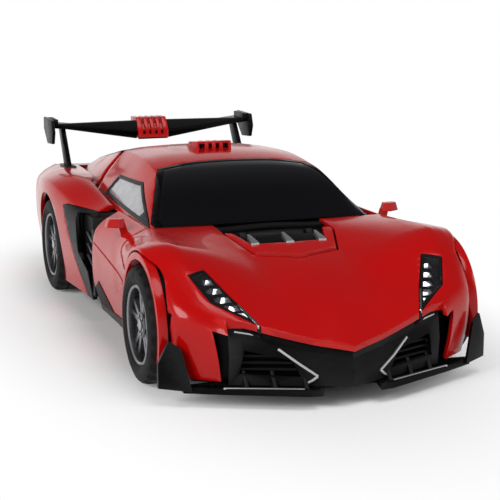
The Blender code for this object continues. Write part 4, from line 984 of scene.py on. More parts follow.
def strip_plan(start, end, width, side):
    """Plan of a thin band from start to end, lying on its outer side."""
    along = (end - start).normalized()
    across = Vector((-along.y, along.x)) * width
    across = across if across.x * side > 0 else -across
    return [tuple(start), tuple(end), tuple(end + across), tuple(start + across)]


def headlights():
    """Each lamp: black tray and rim, clear lens, a chrome strip on its inner edge as a painted highlight,
    and five chrome cups.
    """
    for name, side in SIDES:
        outline = headlight_outline(side)
        tray = carve(hood_skin(-3.4, 1.0), [column(spread(outline, -0.1))])
        piece(f"lamp_tray_{name}", tray, 0.1, GLOSS, "hood", f"headlight_{name}", slot="lamp_chrome")
        inner = spread(outline, -1.2)
        rim = carve(hood_skin(-0.1, 2.6), [column(outline)], [column(inner)])
        piece(f"lamp_rim_{name}", rim, 0.15, BLACK, "hood", slot="lamp_chrome")
        lens = carve(hood_skin(-0.2, 0.7), [column(spread(inner, -0.05))])
        piece(f"lamp_lens_{name}", lens, 0.1, LENS, "hood")
        corners = sorted((Vector(point) for point in inner), key=lambda point: point.y)
        cups = []
        for step in range(5):
            middle = corners[0].lerp(corners[-1], 0.24 + step * 0.17)
            skin_top = surface_height(body_section, *middle)
            radius = 6.4 - step * 0.5
            cups.append(rod("Z", middle, radius, skin_top - 3.2, skin_top - 1.3, 6, 0.42))
        # Painted highlight: a thin chrome strip along the lamp's inner edge stands in for the highlight
        # there
        lower, upper = Vector(outline[0]), Vector(outline[4])
        highlight_strip_plan = strip_plan(lower.lerp(upper, 0.08), lower.lerp(upper, 0.97), 0.9, side)
        edge = carve(hood_skin(0.15, 1.0), [column(highlight_strip_plan)])
        piece(f"lamp_edge_highlight_{name}", edge, 0.1, CHROME, "hood")
        cups = carve(merge(cups), [column(spread(inner, -0.3))])
        piece(f"lamp_cups_{name}", cups, 0.15, CHROME, "hood", sharp=25)


def cowl_vent():
    """Sunk black floor between the V panel and the windscreen, with the wall that hangs under it."""
    opening = bar(0, COWL_HALF + SHUT_LINE - FIT, (HEAD_PIVOT + 5.5, 0), (HOOD_REAR - FIT, ROOF_HEIGHT))
    piece("cowl_floor", carve(hood_skin(-0.9, 1.4), [opening]), 0.2, BLACK, "hood", "cowl_vent")
    wall = bar(0, COWL_HALF, (HEAD_PIVOT + 6.1, TORSO_TOP + 3), (HEAD_PIVOT + 7.1, HOOD_TOP - 2.6))
    piece("hood_rear_wall", wall, 0.2, BLACK, "hood")


def mirrors():
    """Door mirrors: a wedge housing on a short arm, with a dark glass facing back."""
    plan = placed(((7.4, 11.5), (11, 9.5), (16.5, 12.5), (16.5, 17), (8, 16)), DOOR_INNER, HOOD_REAR)
    foot = placed(((4.6, -7), (9, -7), (11, 1.8), (11, 3.2), (7.6, 2.8)), DOOR_INNER, BELT)
    glass = placed(((9.4, 2), (15.4, 2.2), (15, 4.8), (9.8, 4.6)), DOOR_INNER, BELT)
    for name, side in SIDES:
        shell = prism("Z", flip(plan, side), BELT + 1.6, BELT + 5.6, 0.25)
        stem = sided("Y", foot, side, HOOD_REAR + 12, HOOD_REAR + 15)
        made = carve(shell, joins=[stem])
        piece(f"mirror_{name}", made, 0.7, RED, f"arm_{name}", sharp=30, segments=3)
        pane = sided("Y", glass, side, HOOD_REAR + 15.6, HOOD_REAR + 16.9)
        piece(f"mirror_glass_{name}", pane, 0.2, GLASS, f"arm_{name}")


def bumper_place(x, level, ahead=0.0):
    """A point on the bumper's face: level runs from 0 at the splitter to 1 at the hood."""
    y = nose_line(x, 3.0)
    top = min(surface_height(body_section, x, y + 2), surface_height(body_section, x, y + 5)) - WALL - 1.8
    bottom = GROUND_GAP + 1
    lean = float(np.interp(level, (0.0, 0.45, 0.8, 1.0), (0.0, -1.2, 0.4, 2.2)))
    return Vector((x, y + lean - ahead, bottom + (top - bottom) * level))


def bumper_trim():
    """Slatted intakes, bright lines and cheeks on the bumper, and the splitter's bright edge and fins."""
    spots = [BUMPER_END * (0.36 + 0.11 * step) for step in range(6)]
    for name, side in SIDES:
        def run(pairs, ahead):
            return [bumper_place(side * x, level, ahead) for x, level in pairs]

        back = [Vector((side * x, nose_line(x, 9.0), GROUND_GAP + 11)) for x in spots]
        slats = [strip(back, 18, 1.2)]
        for level in (7.6, 10.4, 13.2):
            rail = [Vector((side * x, nose_line(x, 6.0), GROUND_GAP + level)) for x in spots]
            slats.append(strip(rail, 0.9, 3.0))
        piece(f"intake_slats_{name}", slats, 0.12, BLACK, "hood")
        lines = [strip(run(((14, 0.26), (21, 0.50), (29, 0.74)), 0.5), 1.0, 0.8),
                 strip(run(((14, 0.26), (16, 0.15), (18.5, 0.05)), 0.5), 1.0, 0.8),
                 strip(run(((38, 0.90), (42, 0.89), (45.5, 0.88)), 0.4), 0.7, 0.7)]
        piece(f"bumper_lines_{name}", lines, 0.15, SILVER, "hood")
        cheek = [Vector((side * x, nose_line(x, 5.5), GROUND_GAP + 12.8)) for x in (45, 49, 53, 57, 61)]
        piece(f"bumper_cheek_{name}", strip(cheek, 22.5, 1.4), 0.2, GLOSS, "hood")
        edge = [Vector((side * x, nose_line(x, -1.5) + 0.5, GROUND_GAP + 0.7))
                for x in (20, 28, 36, 44, NOSE_CORNER)]
        piece(f"splitter_line_{name}", strip(edge, 0.8, 1.0), 0.15, SILVER, "hood")
        fins = []
        for x in (18, 30, 41):
            y, z = nose_line(x, -0.2), GROUND_GAP + 0.6
            fins.append(upright(((y, z), (y + 5, z), (y + 5, z + 6.5)), side, x, x + 1.6))
        piece(f"splitter_fins_{name}", fins, 0.2, GLOSS, "hood")


def splitter():
    """Two side blades under the bumper, joined behind the chin, with a slanted winglet at each end."""
    low, high = GROUND_GAP - 2, GROUND_GAP + 0.7
    rear = CHEST_PIVOT - 15
    root, tip = WINGLET_ROOT, HALF - 1.5
    blade = ((13, NOSE + 3.5), (19, NOSE + 4.4), (NOSE_CORNER, nose_line(NOSE_CORNER, -1.5)),
             (root + 3, nose_line(root + 3, -3)), (root + 3, nose_line(root + 3, 0)),
             (NOSE_CORNER - 4, CHEST_PIVOT - 8), (35, rear + 0.2), (16, rear + 0.1), (15, NOSE + 13))
    plan = ((root, nose_line(root, -4)), (tip, nose_line(tip, -4)), (tip, nose_line(tip, -2)),
            (root, nose_line(root, -2)))
    rise = ((root, GROUND_GAP - 1), (tip, GROUND_GAP - 0.4), (tip, GROUND_GAP + 10),
            (tip - 4, GROUND_GAP + 20), (root + 4, GROUND_GAP + 17))
    made = bar(0, 16.5, (NOSE + 14, low), (rear, high))
    for _, side in SIDES:
        winglet = sided("Z", plan, side, GROUND_GAP - 5, GROUND_GAP + 24)
        winglet = carve(winglet, [sided("Y", rise, side, NOSE, FRONT_AXLE)])
        made = carve(made, joins=[sided("Z", blade, side, low, high), winglet])
    piece("splitter_blades", made, 0.35, GLOSS, "hood", "splitter")


def close_rings(bm, rings):
    """Faces from each ring of corners to the next, and from the last to the first."""
    count = len(rings[0])
    for index, near in enumerate(rings):
        far = rings[(index + 1) % len(rings)]
        for k in range(count):
            after = (k + 1) % count
            bm.faces.new((near[k], near[after], far[after], far[k]))
    bmesh.ops.recalc_face_normals(bm, faces=bm.faces)
    return mesh_object("rings", bm)


def turned(profile, centre, side, segments, notch=0.0):
    """A ring turned about a wheel's axle from (radius, outward place) points; notch cuts the shoulder."""
    bm = bmesh.new()
    rings = []
    tread_radius, shoulder_out = 25.4, 6.0
    for step in range(segments):
        angle = 2 * math.pi * step / segments
        ring = []
        for radius, out in profile:
            on_shoulder = radius > tread_radius and abs(out) > shoulder_out
            cut = notch if on_shoulder and step % 4 < 2 else 0.0
            reach = radius - cut
            ring.append(bm.verts.new(((centre[0] + side * out) * MM,
                                      (centre[1] + reach * math.cos(angle)) * MM,
                                      (centre[2] + reach * math.sin(angle)) * MM)))
        rings.append(ring)
    return close_rings(bm, rings)


def turned_along(profile, centre, segments=32):
    """A closed ring turned about an axis along the car, from (radius, y) points."""
    bm = bmesh.new()
    rings = []
    for step in range(segments):
        angle = 2 * math.pi * step / segments
        rings.append([bm.verts.new(((centre[0] + radius * math.cos(angle)) * MM, y * MM,
                                    (centre[1] + radius * math.sin(angle)) * MM)) for radius, y in profile])
    return close_rings(bm, rings)


def wheel(place, name, side, y, reach):
    """Tyre with grooves and notched shoulders, bright rim lip, dark barrel, twin spokes, hub and bolts."""
    body = f"{place}_wheel_{name}"
    centre = (side * WHEEL_PLANE, y, AXLE_HEIGHT)
    hub = centre[1:]
    half = placed(((-8, 8.5), (-6.6, 9.6), (-5.6, 9.7), (-5.2, 10.0), (-3.2, 9.9), (-1.6, 9.2), (-0.5, 8.0),
                   (0, 6.4), (0, 3.6), (-0.9, 3.4), (-0.9, 2.6), (0, 2.4)), AXLE_HEIGHT, 0)
    tyre = turned(half + [(radius, -out) for radius, out in half[::-1]], centre, side, 96, 0.8)
    piece(f"wheel_tyre_{place}_{name}", tyre, 0, RUBBER, body, f"tyre_{place}_{name}", sharp=30)
    seat = AXLE_HEIGHT - 8.3
    lip = placed(((0, 8.6), (-0.7, 9.2), (-1.5, 8.6), (-1.9, 6.0), (-1.4, 4.6), (0, 4.6)), seat, 0)
    lip = turned(lip, centre, side, 72)
    piece(f"wheel_lip_{place}_{name}", lip, 0, RIM, body, f"rim_{place}_{name}", sharp=40)
    barrel = turned([(seat, 4.5), (seat, -8.6), (seat - 1.6, -8.6), (seat - 1.6, 0.8), (3.0, 0.2),
                     (3.0, 2.0), (seat - 1.6, 2.0), (seat - 1.6, 4.5)], centre, side, 48)

    def round_bar(at, radius, near, far, sides=24):
        return rod("X", at, radius, *sideways(side, near, WHEEL_PLANE + far), sides)

    axle = round_bar(hub, 2.0, reach, 4)
    disc = turned([(11.5, 2.6), (11.5, 3.3), (5.5, 3.3), (5.5, 2.6)], centre, side, 48)
    piece(f"wheel_disc_{place}_{name}", [axle, disc], 0.1, RIM, body)
    spokes = [barrel]
    for pair in range(5):
        for lean in (-11, 11):
            steps = ((4, 1.5), (4, -1.5), (seat - 1.2, -1.1), (seat - 1.2, 1.1))
            outline = rayed(hub, FIFTH * pair + lean + 18, steps)
            spokes.append(upright(outline, side, WHEEL_PLANE + 3.9, WHEEL_PLANE + 6.8))
    spokes.append(round_bar(hub, 5.6, WHEEL_PLANE + 3.5, 7.2))
    piece(f"wheel_spokes_{place}_{name}", spokes, 0.3, RIM, body)
    bright = [round_bar(hub, 2.6, WHEEL_PLANE + 7.0, 8.0)]
    for bolt in range(5):
        spot = on_circle(hub, 4.2, FIFTH * bolt + 54)
        bright.append(round_bar(spot, 0.7, WHEEL_PLANE + 7.0, 7.7, 6))
    piece(f"wheel_bolts_{place}_{name}", bright, 0.15, SILVER, body, slot="rim_metal")


def wheels():
    """The front wheels on the arms and the rear wheels on the rear body."""
    for name, side in SIDES:
        wheel("front", name, side, FRONT_AXLE, WHEEL_INNER - 7)
        wheel("rear", name, side, REAR_AXLE, 30)


def wing():
    """End plates, ribs and front faces of the wing and the pads under its struts."""
    blade, top, end = WING_FRONT, WING_TOP, WING_END
    strut_x, strut_y = end - 6.8, TAIL - 36
    outline = placed(((-6, -5), (-3, -12), (11, -13), (21, -5), (21, 2), (-3, 2)), blade, top)
    front = ((9.6, top - 11.2), (end - 3, top - 3.2), (end - 3, top - 0.7), (9.6, top - 0.2))
    foot = surface_height(body_section, strut_x, strut_y + 5)
    for name, side in SIDES:
        piece(f"wing_end_{name}", upright(outline, side, end + 0.1, end + 2.0), 0.4, GLOSS, "rear_body")
        ribs = []
        for x in (18, 28, 38):
            z = top - 6.6 + 6 * (x - 8) / (end - 8)
            ribs.append(bar(side * x, 0.5, (blade + 3, z), (blade + 16, z + 0.9)))
        piece(f"wing_ribs_{name}", ribs, 0.15, GLOSS, "rear_body")
        face = sided("Y", front, side, blade + 1.5, blade + 5)
        piece(f"wing_face_{name}", face, 0.4, GLOSS, "rear_body")
        pad = bar(side * strut_x, 3.4, (strut_y - 2.5, foot - 0.6), (strut_y + 14, foot + 1.1))
        piece(f"wing_foot_{name}", pad, 0.5, GLOSS, "rear_body")


def wing_fin():
    """Red ribbed fin between the two halves of the wing."""
    blade, top = WING_FRONT, WING_TOP
    view = placed(((-2, -10.5), (17, -6.2), (17, 1), (5, 1.4), (-1, -5)), blade, top)
    slots = [bar(x, 0.8, (blade - 4, top - 8.6), (blade + 20, top + 4)) for x in (-5.6, -1.9, 1.9, 5.6)]
    made = carve(prism("X", view, -9.4, 9.4), cuts=slots)
    floor_plate = prism("X", [(y + 1.4, z - 0.9) for y, z in view], -9.2, 9.2)
    floor_plate = carve(floor_plate, cuts=[bar(0, 12, (blade - 9, top - 1.4), (blade + 30, top + 9))])
    piece("wing_fin", carve(made, joins=[floor_plate]), 0.3, RED, "rear_body", "spoiler_fin")


def roof_scoop():
    """Low red scoop on the roof, open to the front, with three ribs, a dark floor and two low fences."""
    front, rear = ROOF_PIVOT - 40, ROOF_PIVOT - 12
    base = ROOF_HEIGHT - 1.6
    side_view = ((front, base), (rear, base), (rear, base + 1.2), (rear - 16, base + 4.6),
                 (front + 1.5, base + 5.6))
    shell = prism("X", side_view, -11, 11)
    plan = ((-9, front - 2), (9, front - 2), (11, front + 10), (7, rear + 1), (-7, rear + 1),
            (-11, front + 10))
    mouth = ((front - 3, base + 1.4), (rear - 14, base + 1.4), (rear - 15, base + 3.4),
             (front - 3, base + 4.6))
    made = carve(shell, [prism("Z", plan, base - 1, base + 9)], [prism("X", mouth, -8, 8)])
    piece("roof_scoop", made, 0.5, RED, "roof", sharp=30, segments=3)
    fence = [bar(0, 7.8, (front + 2, base + 1.42), (rear - 15, base + 1.9))]
    for x in (-6, 6):
        fence.append(bar(x, 0.4, (front + 2, base + 1.8), (rear - 16, base + 3.6)))
    ribs = [bar(x, 1.0, (front + 0.8, base + 1.3), (rear - 15, base + 4.8)) for x in (-4, 0, 4)]
    piece("scoop_ribs", ribs, 0.5, RED, "roof", sharp=30, segments=3)
    piece("scoop_floor", fence, 0.1, BLACK, "roof")


def side_trim():
    """Silver slats in the side intakes as painted glints, the dark insert low on each door and a raised
    line along it.
    """
    front = QUARTER_FRONT
    for name, side in SIDES:
        out = half_width(front) - WALL - 1.2
        # Painted glints: thin silver slats stand in for the glints in the black side intakes
        slats = []
        for level in range(3):
            z = SILL + 18.2 + level * 6
            slats.append(strip([Vector((side * out, front + 1.5, z)),
                                Vector((side * (out - 0.6), front + 15.5, z + 2.6))], 0.7, 1.0))
        piece(f"intake_glints_{name}", slats, 0.12, SILVER, "rear_body")
        span = sideways(side, DOOR_INNER, OUTSIDE)
        wedge = placed(((-40, 1), (-10, 1), (-3, 10), (-12, 15)), DOOR_REAR, SILL)
        insert = carve(door_skin(0.35, 0.8), [prism("X", wedge, *span)])
        piece(f"sill_insert_{name}", insert, 0.2, BLACK, f"arm_{name}")
        crease = [(FRONT_AXLE + ARCH_RADIUS + 6, BELT - 20), (DOOR_REAR - 6, BELT - 13),
                  (DOOR_REAR - 6, BELT - 14.4), (FRONT_AXLE + ARCH_RADIUS + 8, BELT - 21.6)]
        line = carve(door_skin(0.4, 0.9), [prism("X", crease, *span)])
        piece(f"door_line_{name}", line, 0.3, RED, f"arm_{name}")


def tail():
    """Tail lamps, exhaust tips, the diffuser's blades and a grille of three bars between the lamps."""
    half = half_width(TAIL - 2) - WALL - 2
    top = surface_height(body_section, 0, TAIL - 2) - WALL - 1.5
    lamp = ((half * 0.36, top - 12.3), (half * 0.87, top - 8.4), (half * 0.89, top - 15.7),
            (half * 0.46, top - 16.7))
    tip = placed(((4.2, -7), (4.6, -0.4), (3.6, -0.2), (3.3, -7)), 0, TAIL)
    for name, side in SIDES:
        grooves = []
        for share in (0.5, 0.6, 0.7, 0.8):
            grooves.append(bar(side * half * share, 0.35, (TAIL - 1.5, top - 20), (TAIL, top)))
        lens = carve(sided("Y", lamp, side, TAIL - 2.9, TAIL - 1.0), cuts=grooves)
        piece(f"tail_lens_{name}", lens, 0.2, LAMP, "rear_body")
        piece(f"exhaust_{name}", turned_along(tip, (side * 13, SILL + 16)), 0.1, CHROME, "rear_body")
    outline = placed(((-22, -1), (-2, 2), (-1, 10), (-5, 10)), TAIL, SILL)
    blades = [prism("X", outline, x - 0.9, x + 0.9) for x in (-33, -20, -7, 7, 20, 33)]
    piece("diffuser", blades, 0.25, GLOSS, "rear_body")
    bars = []
    for row in range(3):
        rise = row * 2.0
        bars.append(bar(0, half * 0.33, (TAIL - 2.2, top - 15.6 + rise), (TAIL - 1.1, top - 14.9 + rise)))
    piece("tail_grille", bars, 0.12, BLACK, "rear_body")


def quarter_blades():
    """Black panel behind each door that slants back to the hip, and the black sill under the door."""
    front = QUARTER_FRONT
    for name, side in SIDES:
        span = sideways(side, WHEEL_INNER - 4, OUTSIDE)
        mouth = [(front - 2, SILL + 14), (front + 16, SILL + 22), (front + 20, BELT - 4),
                 (front - 2, BELT - 1)]
        cuts = [prism("X", mouth, *span), rod("X", (REAR_AXLE, AXLE_HEIGHT), ARCH_RADIUS + 2, *span, 64)]
        blade = carve(skin(body_section, front, REAR_AXLE, 30), [prism("X", blade_outline(), *span)], cuts)
        piece(f"quarter_blade_{name}", blade, 0.35, GLOSS, "rear_body")
        span = sideways(side, DOOR_INNER, OUTSIDE)
        sill = [(FRONT_AXLE + ARCH_RADIUS + 3, SILL - 0.8), (DOOR_REAR - 9.6, SILL - 0.8),
                (DOOR_REAR - 8, SILL + 3), (FRONT_AXLE + ARCH_RADIUS + 4, SILL + 5)]
        strip_skin = carve(door_skin(0.45, 0.9), [prism("X", sill, *span)])
        piece(f"door_sill_{name}", strip_skin, 0.25, GLOSS, f"arm_{name}")


def face_band(profile, proud):
    """Side view of a plate that lies on the line of profile and stands proud of it."""
    start, end = Vector(profile[0]), Vector(profile[1])
    along = (end - start).normalized()
    out = Vector((along.y, -along.x)) * proud
    sink = -out.normalized() * 0.4
    return [tuple(start + sink), tuple(end + sink), tuple(end + out - along * 0.6),
            tuple(start + out + along * 0.6)]


def knee_link():
    """Front of the link between torso and knees: red plates, short silver lines and a ribbed spine."""
    top, foot = Vector((TORSO_REAR - 0.5, TORSO_BOTTOM + 4)), Vector((LEG_FRONT + 16, TORSO_TOP - 6))
    knee = Vector((KNEE_PIVOT + 4, KNEE_HEIGHT - 8))

    def upper(start, end, proud):
        return face_band((top.lerp(foot, start), top.lerp(foot, end)), proud)

    def lower(start, end, proud):
        return face_band((foot.lerp(knee, start), foot.lerp(knee, end)), proud)

    red, spine, lines = [], [], []
    for _, side in SIDES:
        red.append(upright(upper(0.06, 0.46, 1.4), side, 10.6, 19.0))
        red.append(upright(upper(0.52, 0.94, 1.2), side, 13.4, 19.4))
        for row in range(3):
            lines.append(upright(upper(0.50 + row * 0.16, 0.60 + row * 0.16, 1.0), side, 8.6, 12.4))
        red.append(upright(lower(0.10, 0.58, 1.1), side, 12.8, 19.2))
        lines.append(upright(lower(0.12, 0.52, 0.9), side, 10.2, 11.6))
    for row in range(4):
        spine.append(prism("X", lower(0.10 + row * 0.14, 0.19 + row * 0.14, 1.0), -6.5, 6.5))
    for row in range(6):
        band = upper(0.06 + row * 0.15, 0.17 + row * 0.15, 1.1)
        spine.append(prism("X", band, -5.5 + row * 0.4, 5.5 - row * 0.4))
    piece("knee_plates", red, 0.4, RED, "torso")
    piece("knee_lines", lines, 0.25, SILVER, "torso")
    piece("knee_spine", spine, 0.3, GLOSS, "torso")


def leg_fronts():
    """Legs of the robot: red knee caps, ribbed silver knees, raised shins with clips, middle grille."""
    cap = placed(((-3.6, 38.5), (2.4, 39.8), (7.2, 50), (9.6, 55), (8.2, 56.2), (5.2, 50.8), (0.6, 42),
                  (-3.6, 40.6)), KNEE_PIVOT - 17.5, KNEE_HEIGHT - 50)
    knee = placed(((-0.9, -25), (7.2, -13.4), (13.4, -11.8), (13.4, -14.4), (8.4, -15.8), (0.6, -26)),
                  LEG_FRONT, KNEE_HEIGHT)
    guard = ((LEG_INNER + 1, GROUND_GAP + 3), (LEG_OUTER + 2, GROUND_GAP + 3),
             (LEG_OUTER + 7, GROUND_GAP + 16), (LEG_OUTER, GROUND_GAP + 24), (LEG_INNER, GROUND_GAP + 20))
    ridge = ((LEG_INNER + 2.6, GROUND_GAP + 4.6), (LEG_OUTER + 0.2, GROUND_GAP + 4.6),
             (LEG_OUTER + 3.6, GROUND_GAP + 15.6), (LEG_OUTER - 1.2, GROUND_GAP + 21.4),
             (LEG_INNER + 3, GROUND_GAP + 18.6))
    for name, side in SIDES:
        piece(f"knee_cap_{name}", upright(cap, side, 23.4, 31.8), 0.5, RED, "rear_body")
        ribs = []
        for row in range(5):
            x = 23.0 + row * 1.95
            ribs.append(upright(knee, side, x, x + 1.2))
        piece(f"knee_ribs_{name}", ribs, 0.25, SILVER, "rear_body")
        shin = carve(sided("Y", guard, side, LEG_FRONT - 2.0, LEG_FRONT - FIT),
                     joins=[sided("Y", ridge, side, LEG_FRONT - 3.6, LEG_FRONT - 1)])
        piece(f"shin_guard_{name}", shin, 0.7, RED, "rear_body", f"shin_panel_{name}", sharp=30, segments=3)
        clip = bar(side * (LEG_INNER + 0.5), 0.5, (LEG_FRONT - 2.6, GROUND_GAP + 1.4),
                   (LEG_FRONT + 0.4, GROUND_GAP + 19))
        piece(f"shin_clip_{name}", clip, 0.2, SILVER, "rear_body")
    front = LEG_FRONT + 4
    bars = []
    for row in range(4):
        low, high = GROUND_GAP - 1 + row * 2.6, GROUND_GAP + 0.4 + row * 2.6
        bars.append(bar(0, 19 - row, (front - 1.2, low), (front + 0.4, high)))
    post = placed(((6, -1.5), (9, -1.5), (6.4, 9.5), (4.2, 9.5)), 0, GROUND_GAP)
    bars += [sided("Y", post, side, front - 1.8, front + 0.2) for _, side in SIDES]
    piece("block_grille", bars, 0.3, GLOSS, "rear_body")


def arm_details():
    """Ribs round the arm housings, bolts on their inner walls and a stay on each swing link."""
    axle = (FRONT_AXLE, AXLE_HEIGHT)
    ring = [*arc(axle, ARCH_RADIUS + 2.5, 96, 192, 28), *arc(axle, ARCH_RADIUS + 1.4, 192, 96, 28)]
    for name, side in SIDES:
        ribs = []
        for x in (WHEEL_INNER + 1.5, WHEEL_INNER + 6, WHEEL_INNER + 10.5):
            ribs.append(upright(ring, side, x, x + 1.6))
        piece(f"housing_ribs_{name}", ribs, 0.25, BLACK, f"arm_{name}")
        span = sideways(side, 47.4, 48.2)
        bolts = [rod("X", on_circle(axle, 19, turn), 1.5, *span, 6) for turn in (20, 60, 120, 160)]
        piece(f"housing_bolts_{name}", bolts, 0.2, STEEL, f"arm_{name}")
        front, rear = joint_place(f"arm_turn_{name}"), joint_place(f"arm_swing_{name}")
        low, high = front.z + 1.2, rear.z - 1.2
        ahead, behind = front.y + 3, rear.y - 3
        plan = ((44, ahead), (46, ahead + 3), (46, behind - 3), (44, behind))
        stays = [sided("Z", plan, side, low, high)]
        for y in (ahead + 5, (ahead + behind) / 2, behind - 5):
            stays.append(side_bar(side, 42, 45, (y - 1.5, low + 0.4), (y + 1.5, high - 0.4)))
        piece(f"link_stay_{name}", stays, 0.25, BLACK, f"swing_link_{name}")


def bulkhead_trim():
    """Raised red field, black edge and black end cap on each half of the rear body's front wall."""
    field = ((37, SILL + 6), (57, SILL + 6), (57, BELT - 12), (51, BELT - 5), (37, BELT - 2))
    edge = ((59.5, SILL + 5), (67.6, SILL + 5), (67.6, BELT - 18), (59.5, BELT - 12))
    for name, side in SIDES:
        low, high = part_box(f"bulkhead_panel_{name}")
        wall = low.y / MM
        end = max(high.x, -low.x) / MM + 0.2
        raised = sided("Y", field, side, wall - 0.9, wall + 0.3)
        piece(f"wall_field_{name}", raised, 0.35, RED, "rear_body")
        cover = side_bar(side, 64, end, (wall - 0.5, SILL + 3), (wall + 5.4, BELT - 9))
        piece(f"wall_cap_{name}", cover, 0.25, GLOSS, "rear_body")
        rail = sided("Y", edge, side, wall - 0.7, wall + 0.3)
        piece(f"wall_edge_{name}", rail, 0.3, GLOSS, "rear_body")


def screw(x, y, z, radius=2.0):
    """Cross-head screw facing down."""
    cross = [bar(x, 1.4, (y - 0.3, z - 1.2), (y + 0.3, z - 0.25)),
             bar(x, 0.3, (y - 1.4, z - 1.2), (y + 1.4, z - 0.25))]
    return carve(rod("Z", (x, y), radius, z - 0.7, z + 0.5, 20), cuts=cross)


def underside():
    """Screws and ribs on the floor of the rear body, and grip lines on the battery cover."""
    screws = [screw(x, y, GROUND_GAP) for x in (-44, 44) for y in (36, REAR_AXLE + 38, TAIL - 16)]
    screws += [screw(x, REAR_AXLE - 24, GROUND_GAP) for x in (-26, 26)]
    screws.append(screw(0, REAR_AXLE + 54, GROUND_GAP, 1.7))
    piece("floor_screws", screws, 0.12, STEEL, "rear_body")
    low, high = GROUND_GAP - 0.8, GROUND_GAP + 0.5
    ribs = [bar(x, 0.8, (33, low), (REAR_AXLE - 14, high)) for x in (-38, -18, 18, 38)]
    ribs += [bar(0, 50, (y - 0.8, low), (y + 0.8, high)) for y in (REAR_AXLE - 6, REAR_AXLE + 10)]
    ribs += [bar(x, 0.8, (REAR_AXLE + 22, low), (TAIL - 10, high)) for x in (-36, 36)]
    piece("floor_ribs", ribs, 0.3, BLACK, "rear_body")
    grips = []
    for row in range(6):
        first, last = REAR_AXLE + 24 + row * 4, REAR_AXLE + 25.6 + row * 4
        grips.append(bar(0, 16, (first, GROUND_GAP - 0.6), (last, GROUND_GAP + 0.4)))
    piece("cover_grips", grips, 0.25, BLACK, "rear_body")


def inside():
    """Chips, cans and sockets on the board, ribs on the drive gearboxes and bands round the battery."""
    low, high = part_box("circuit_board")
    top, front = high.z / MM, low.y / MM
    foot = top - 0.2
    chips = [block((-9, front + 5, foot), (1, front + 12, top + 1.4)),
             block((6, front + 11, foot), (12, front + 16, top + 1.1))]
    for row in range(5):
        x = 3 * row
        chips.append(block((-20 + x, front + 14, foot), (-18.6 + x, front + 16.6, top + 0.6)))
    piece("board_chips", chips, 0.15, BLACK, "rear_body")
    spots = ((5.5, 4.5), (11, 5.5), (-14, 6))
    cans = [rod("Z", (x, front + y), 2.0, foot, top + 4.4, 20) for x, y in spots]
    piece("board_cans", cans, 0.3, SILVER, "rear_body")
    sockets = []
    for y in (front + 3, front + 11):
        hole = block((17, y + 1, top + 1), (23, y + 5, top + 2.8))
        sockets.append(carve(block((16, y, foot), (21.5, y + 6, top + 3.6)), cuts=[hole]))
    piece("board_sockets", sockets, 0.2, NYLON, "rear_body")
    for name, side in SIDES:
        low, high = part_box(f"drive_gearbox_{name}")
        first, last, crest = low.y / MM + 3, high.y / MM - 3, high.z / MM
        inner = min(abs(low.x), abs(high.x)) / MM
        ribs = []
        for x in (inner + 5, inner + 12, inner + 19):
            ribs.append(side_bar(side, x, x + 1.4, (first, crest - 0.3), (last, crest + 1.0)))
        piece(f"gearbox_ribs_{name}", ribs, 0.25, NYLON, "rear_body")
    low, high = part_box("battery")
    bands = []
    for y in (low.y / MM + 3, high.y / MM - 6):
        start = (low.x / MM - 0.25, y, low.z / MM + 2)
        end = (high.x / MM + 0.25, y + 3, high.z / MM + 0.3)
        bands.append(block(start, end))
    piece("battery_bands", bands, 0.2, NYLON, "rear_body")


def head():
    """Plain robot face: chin and cheek plates, red mark, ribbed mouth, two eyes and the helmet's trim."""
    rear = HEAD_PIVOT - 3
    half = 13
    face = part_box("face_mask")[1].z / MM + FIT
    outer = face - 0.1

    def plate(outline, low, high, side=1):
        return sided("Z", placed(outline, 0, rear), side, low, high)

    plates = [plate(((-6.5, -10), (-5, -6), (5, -6), (6.5, -10)), face - 2.3, outer)]
    for _, side in SIDES:
        cheek = ((4.6, -10.6), (half - 3.4, -7.4), (half - 1.2, -14.8), (5, -16.4))
        plates.append(plate(cheek, face - 2.3, outer, side))
        guard = ((8.6, -6.8), (half - 0.6, -6.2), (half - 1.4, 0.4), (6.6, -0.6))
        plates.append(plate(guard, face - 1.7, outer, side))
    plates.append(plate(((-6.4, -5.4), (6.4, -5.4), (4.2, -0.8), (-4.2, -0.8)), face - 2.0, outer))
    mark = plate(((-2.6, -4.8), (2.6, -4.8), (1.4, -1.6), (-1.4, -1.6)), face - 2.4, face - 1.6)
    piece("chin_mark", mark, 0.2, RED, "head")
    piece("chin_and_cheeks", plates, 0.5, SILVER, "head", "face_mask")
    ribs = []
    for row in range(3):
        first, last = rear - 15.6 + row * 1.7, rear - 14.6 + row * 1.7
        ribs.append(bar(0, 3.8, (first, face - 2.1), (last, outer)))
    piece("mouth_ribs", ribs, 0.2, CHROME, "head", slot="silver_plastic")
    eye = ((2.2, -17.2), (half - 4.2, -16.5), (half - 5.4, -18.4), (2.6, -18.6))
    eyes = [plate(eye, face - 2.0, face - 1.5, side) for _, side in SIDES]
    piece("eyes", eyes, 0.12, EYE, "head")
    crown, back = COWL_TIP + 9, face + 16
    ridge = ((rear - 19.6, face + 0.4), (crown + 1, back - 8.2), (crown + 1, back - 5),
             (rear - 16, face + 3))
    fin = ((rear - 18, face + 3.2), (crown + 3, back - 6), (crown + 4, back - 3.5), (rear - 14, face + 5))
    crest = [prism("X", ridge, -1.7, 1.7)]
    for _, side in SIDES:
        crest.append(upright(fin, side, 7.5, 9.0))
        crest.append(rod("X", (rear - 12, face + 7), 4.0, *sideways(side, half - 0.4, half + 1.1)))
    piece("helmet_trim", crest, 0.35, SILVER, "head")


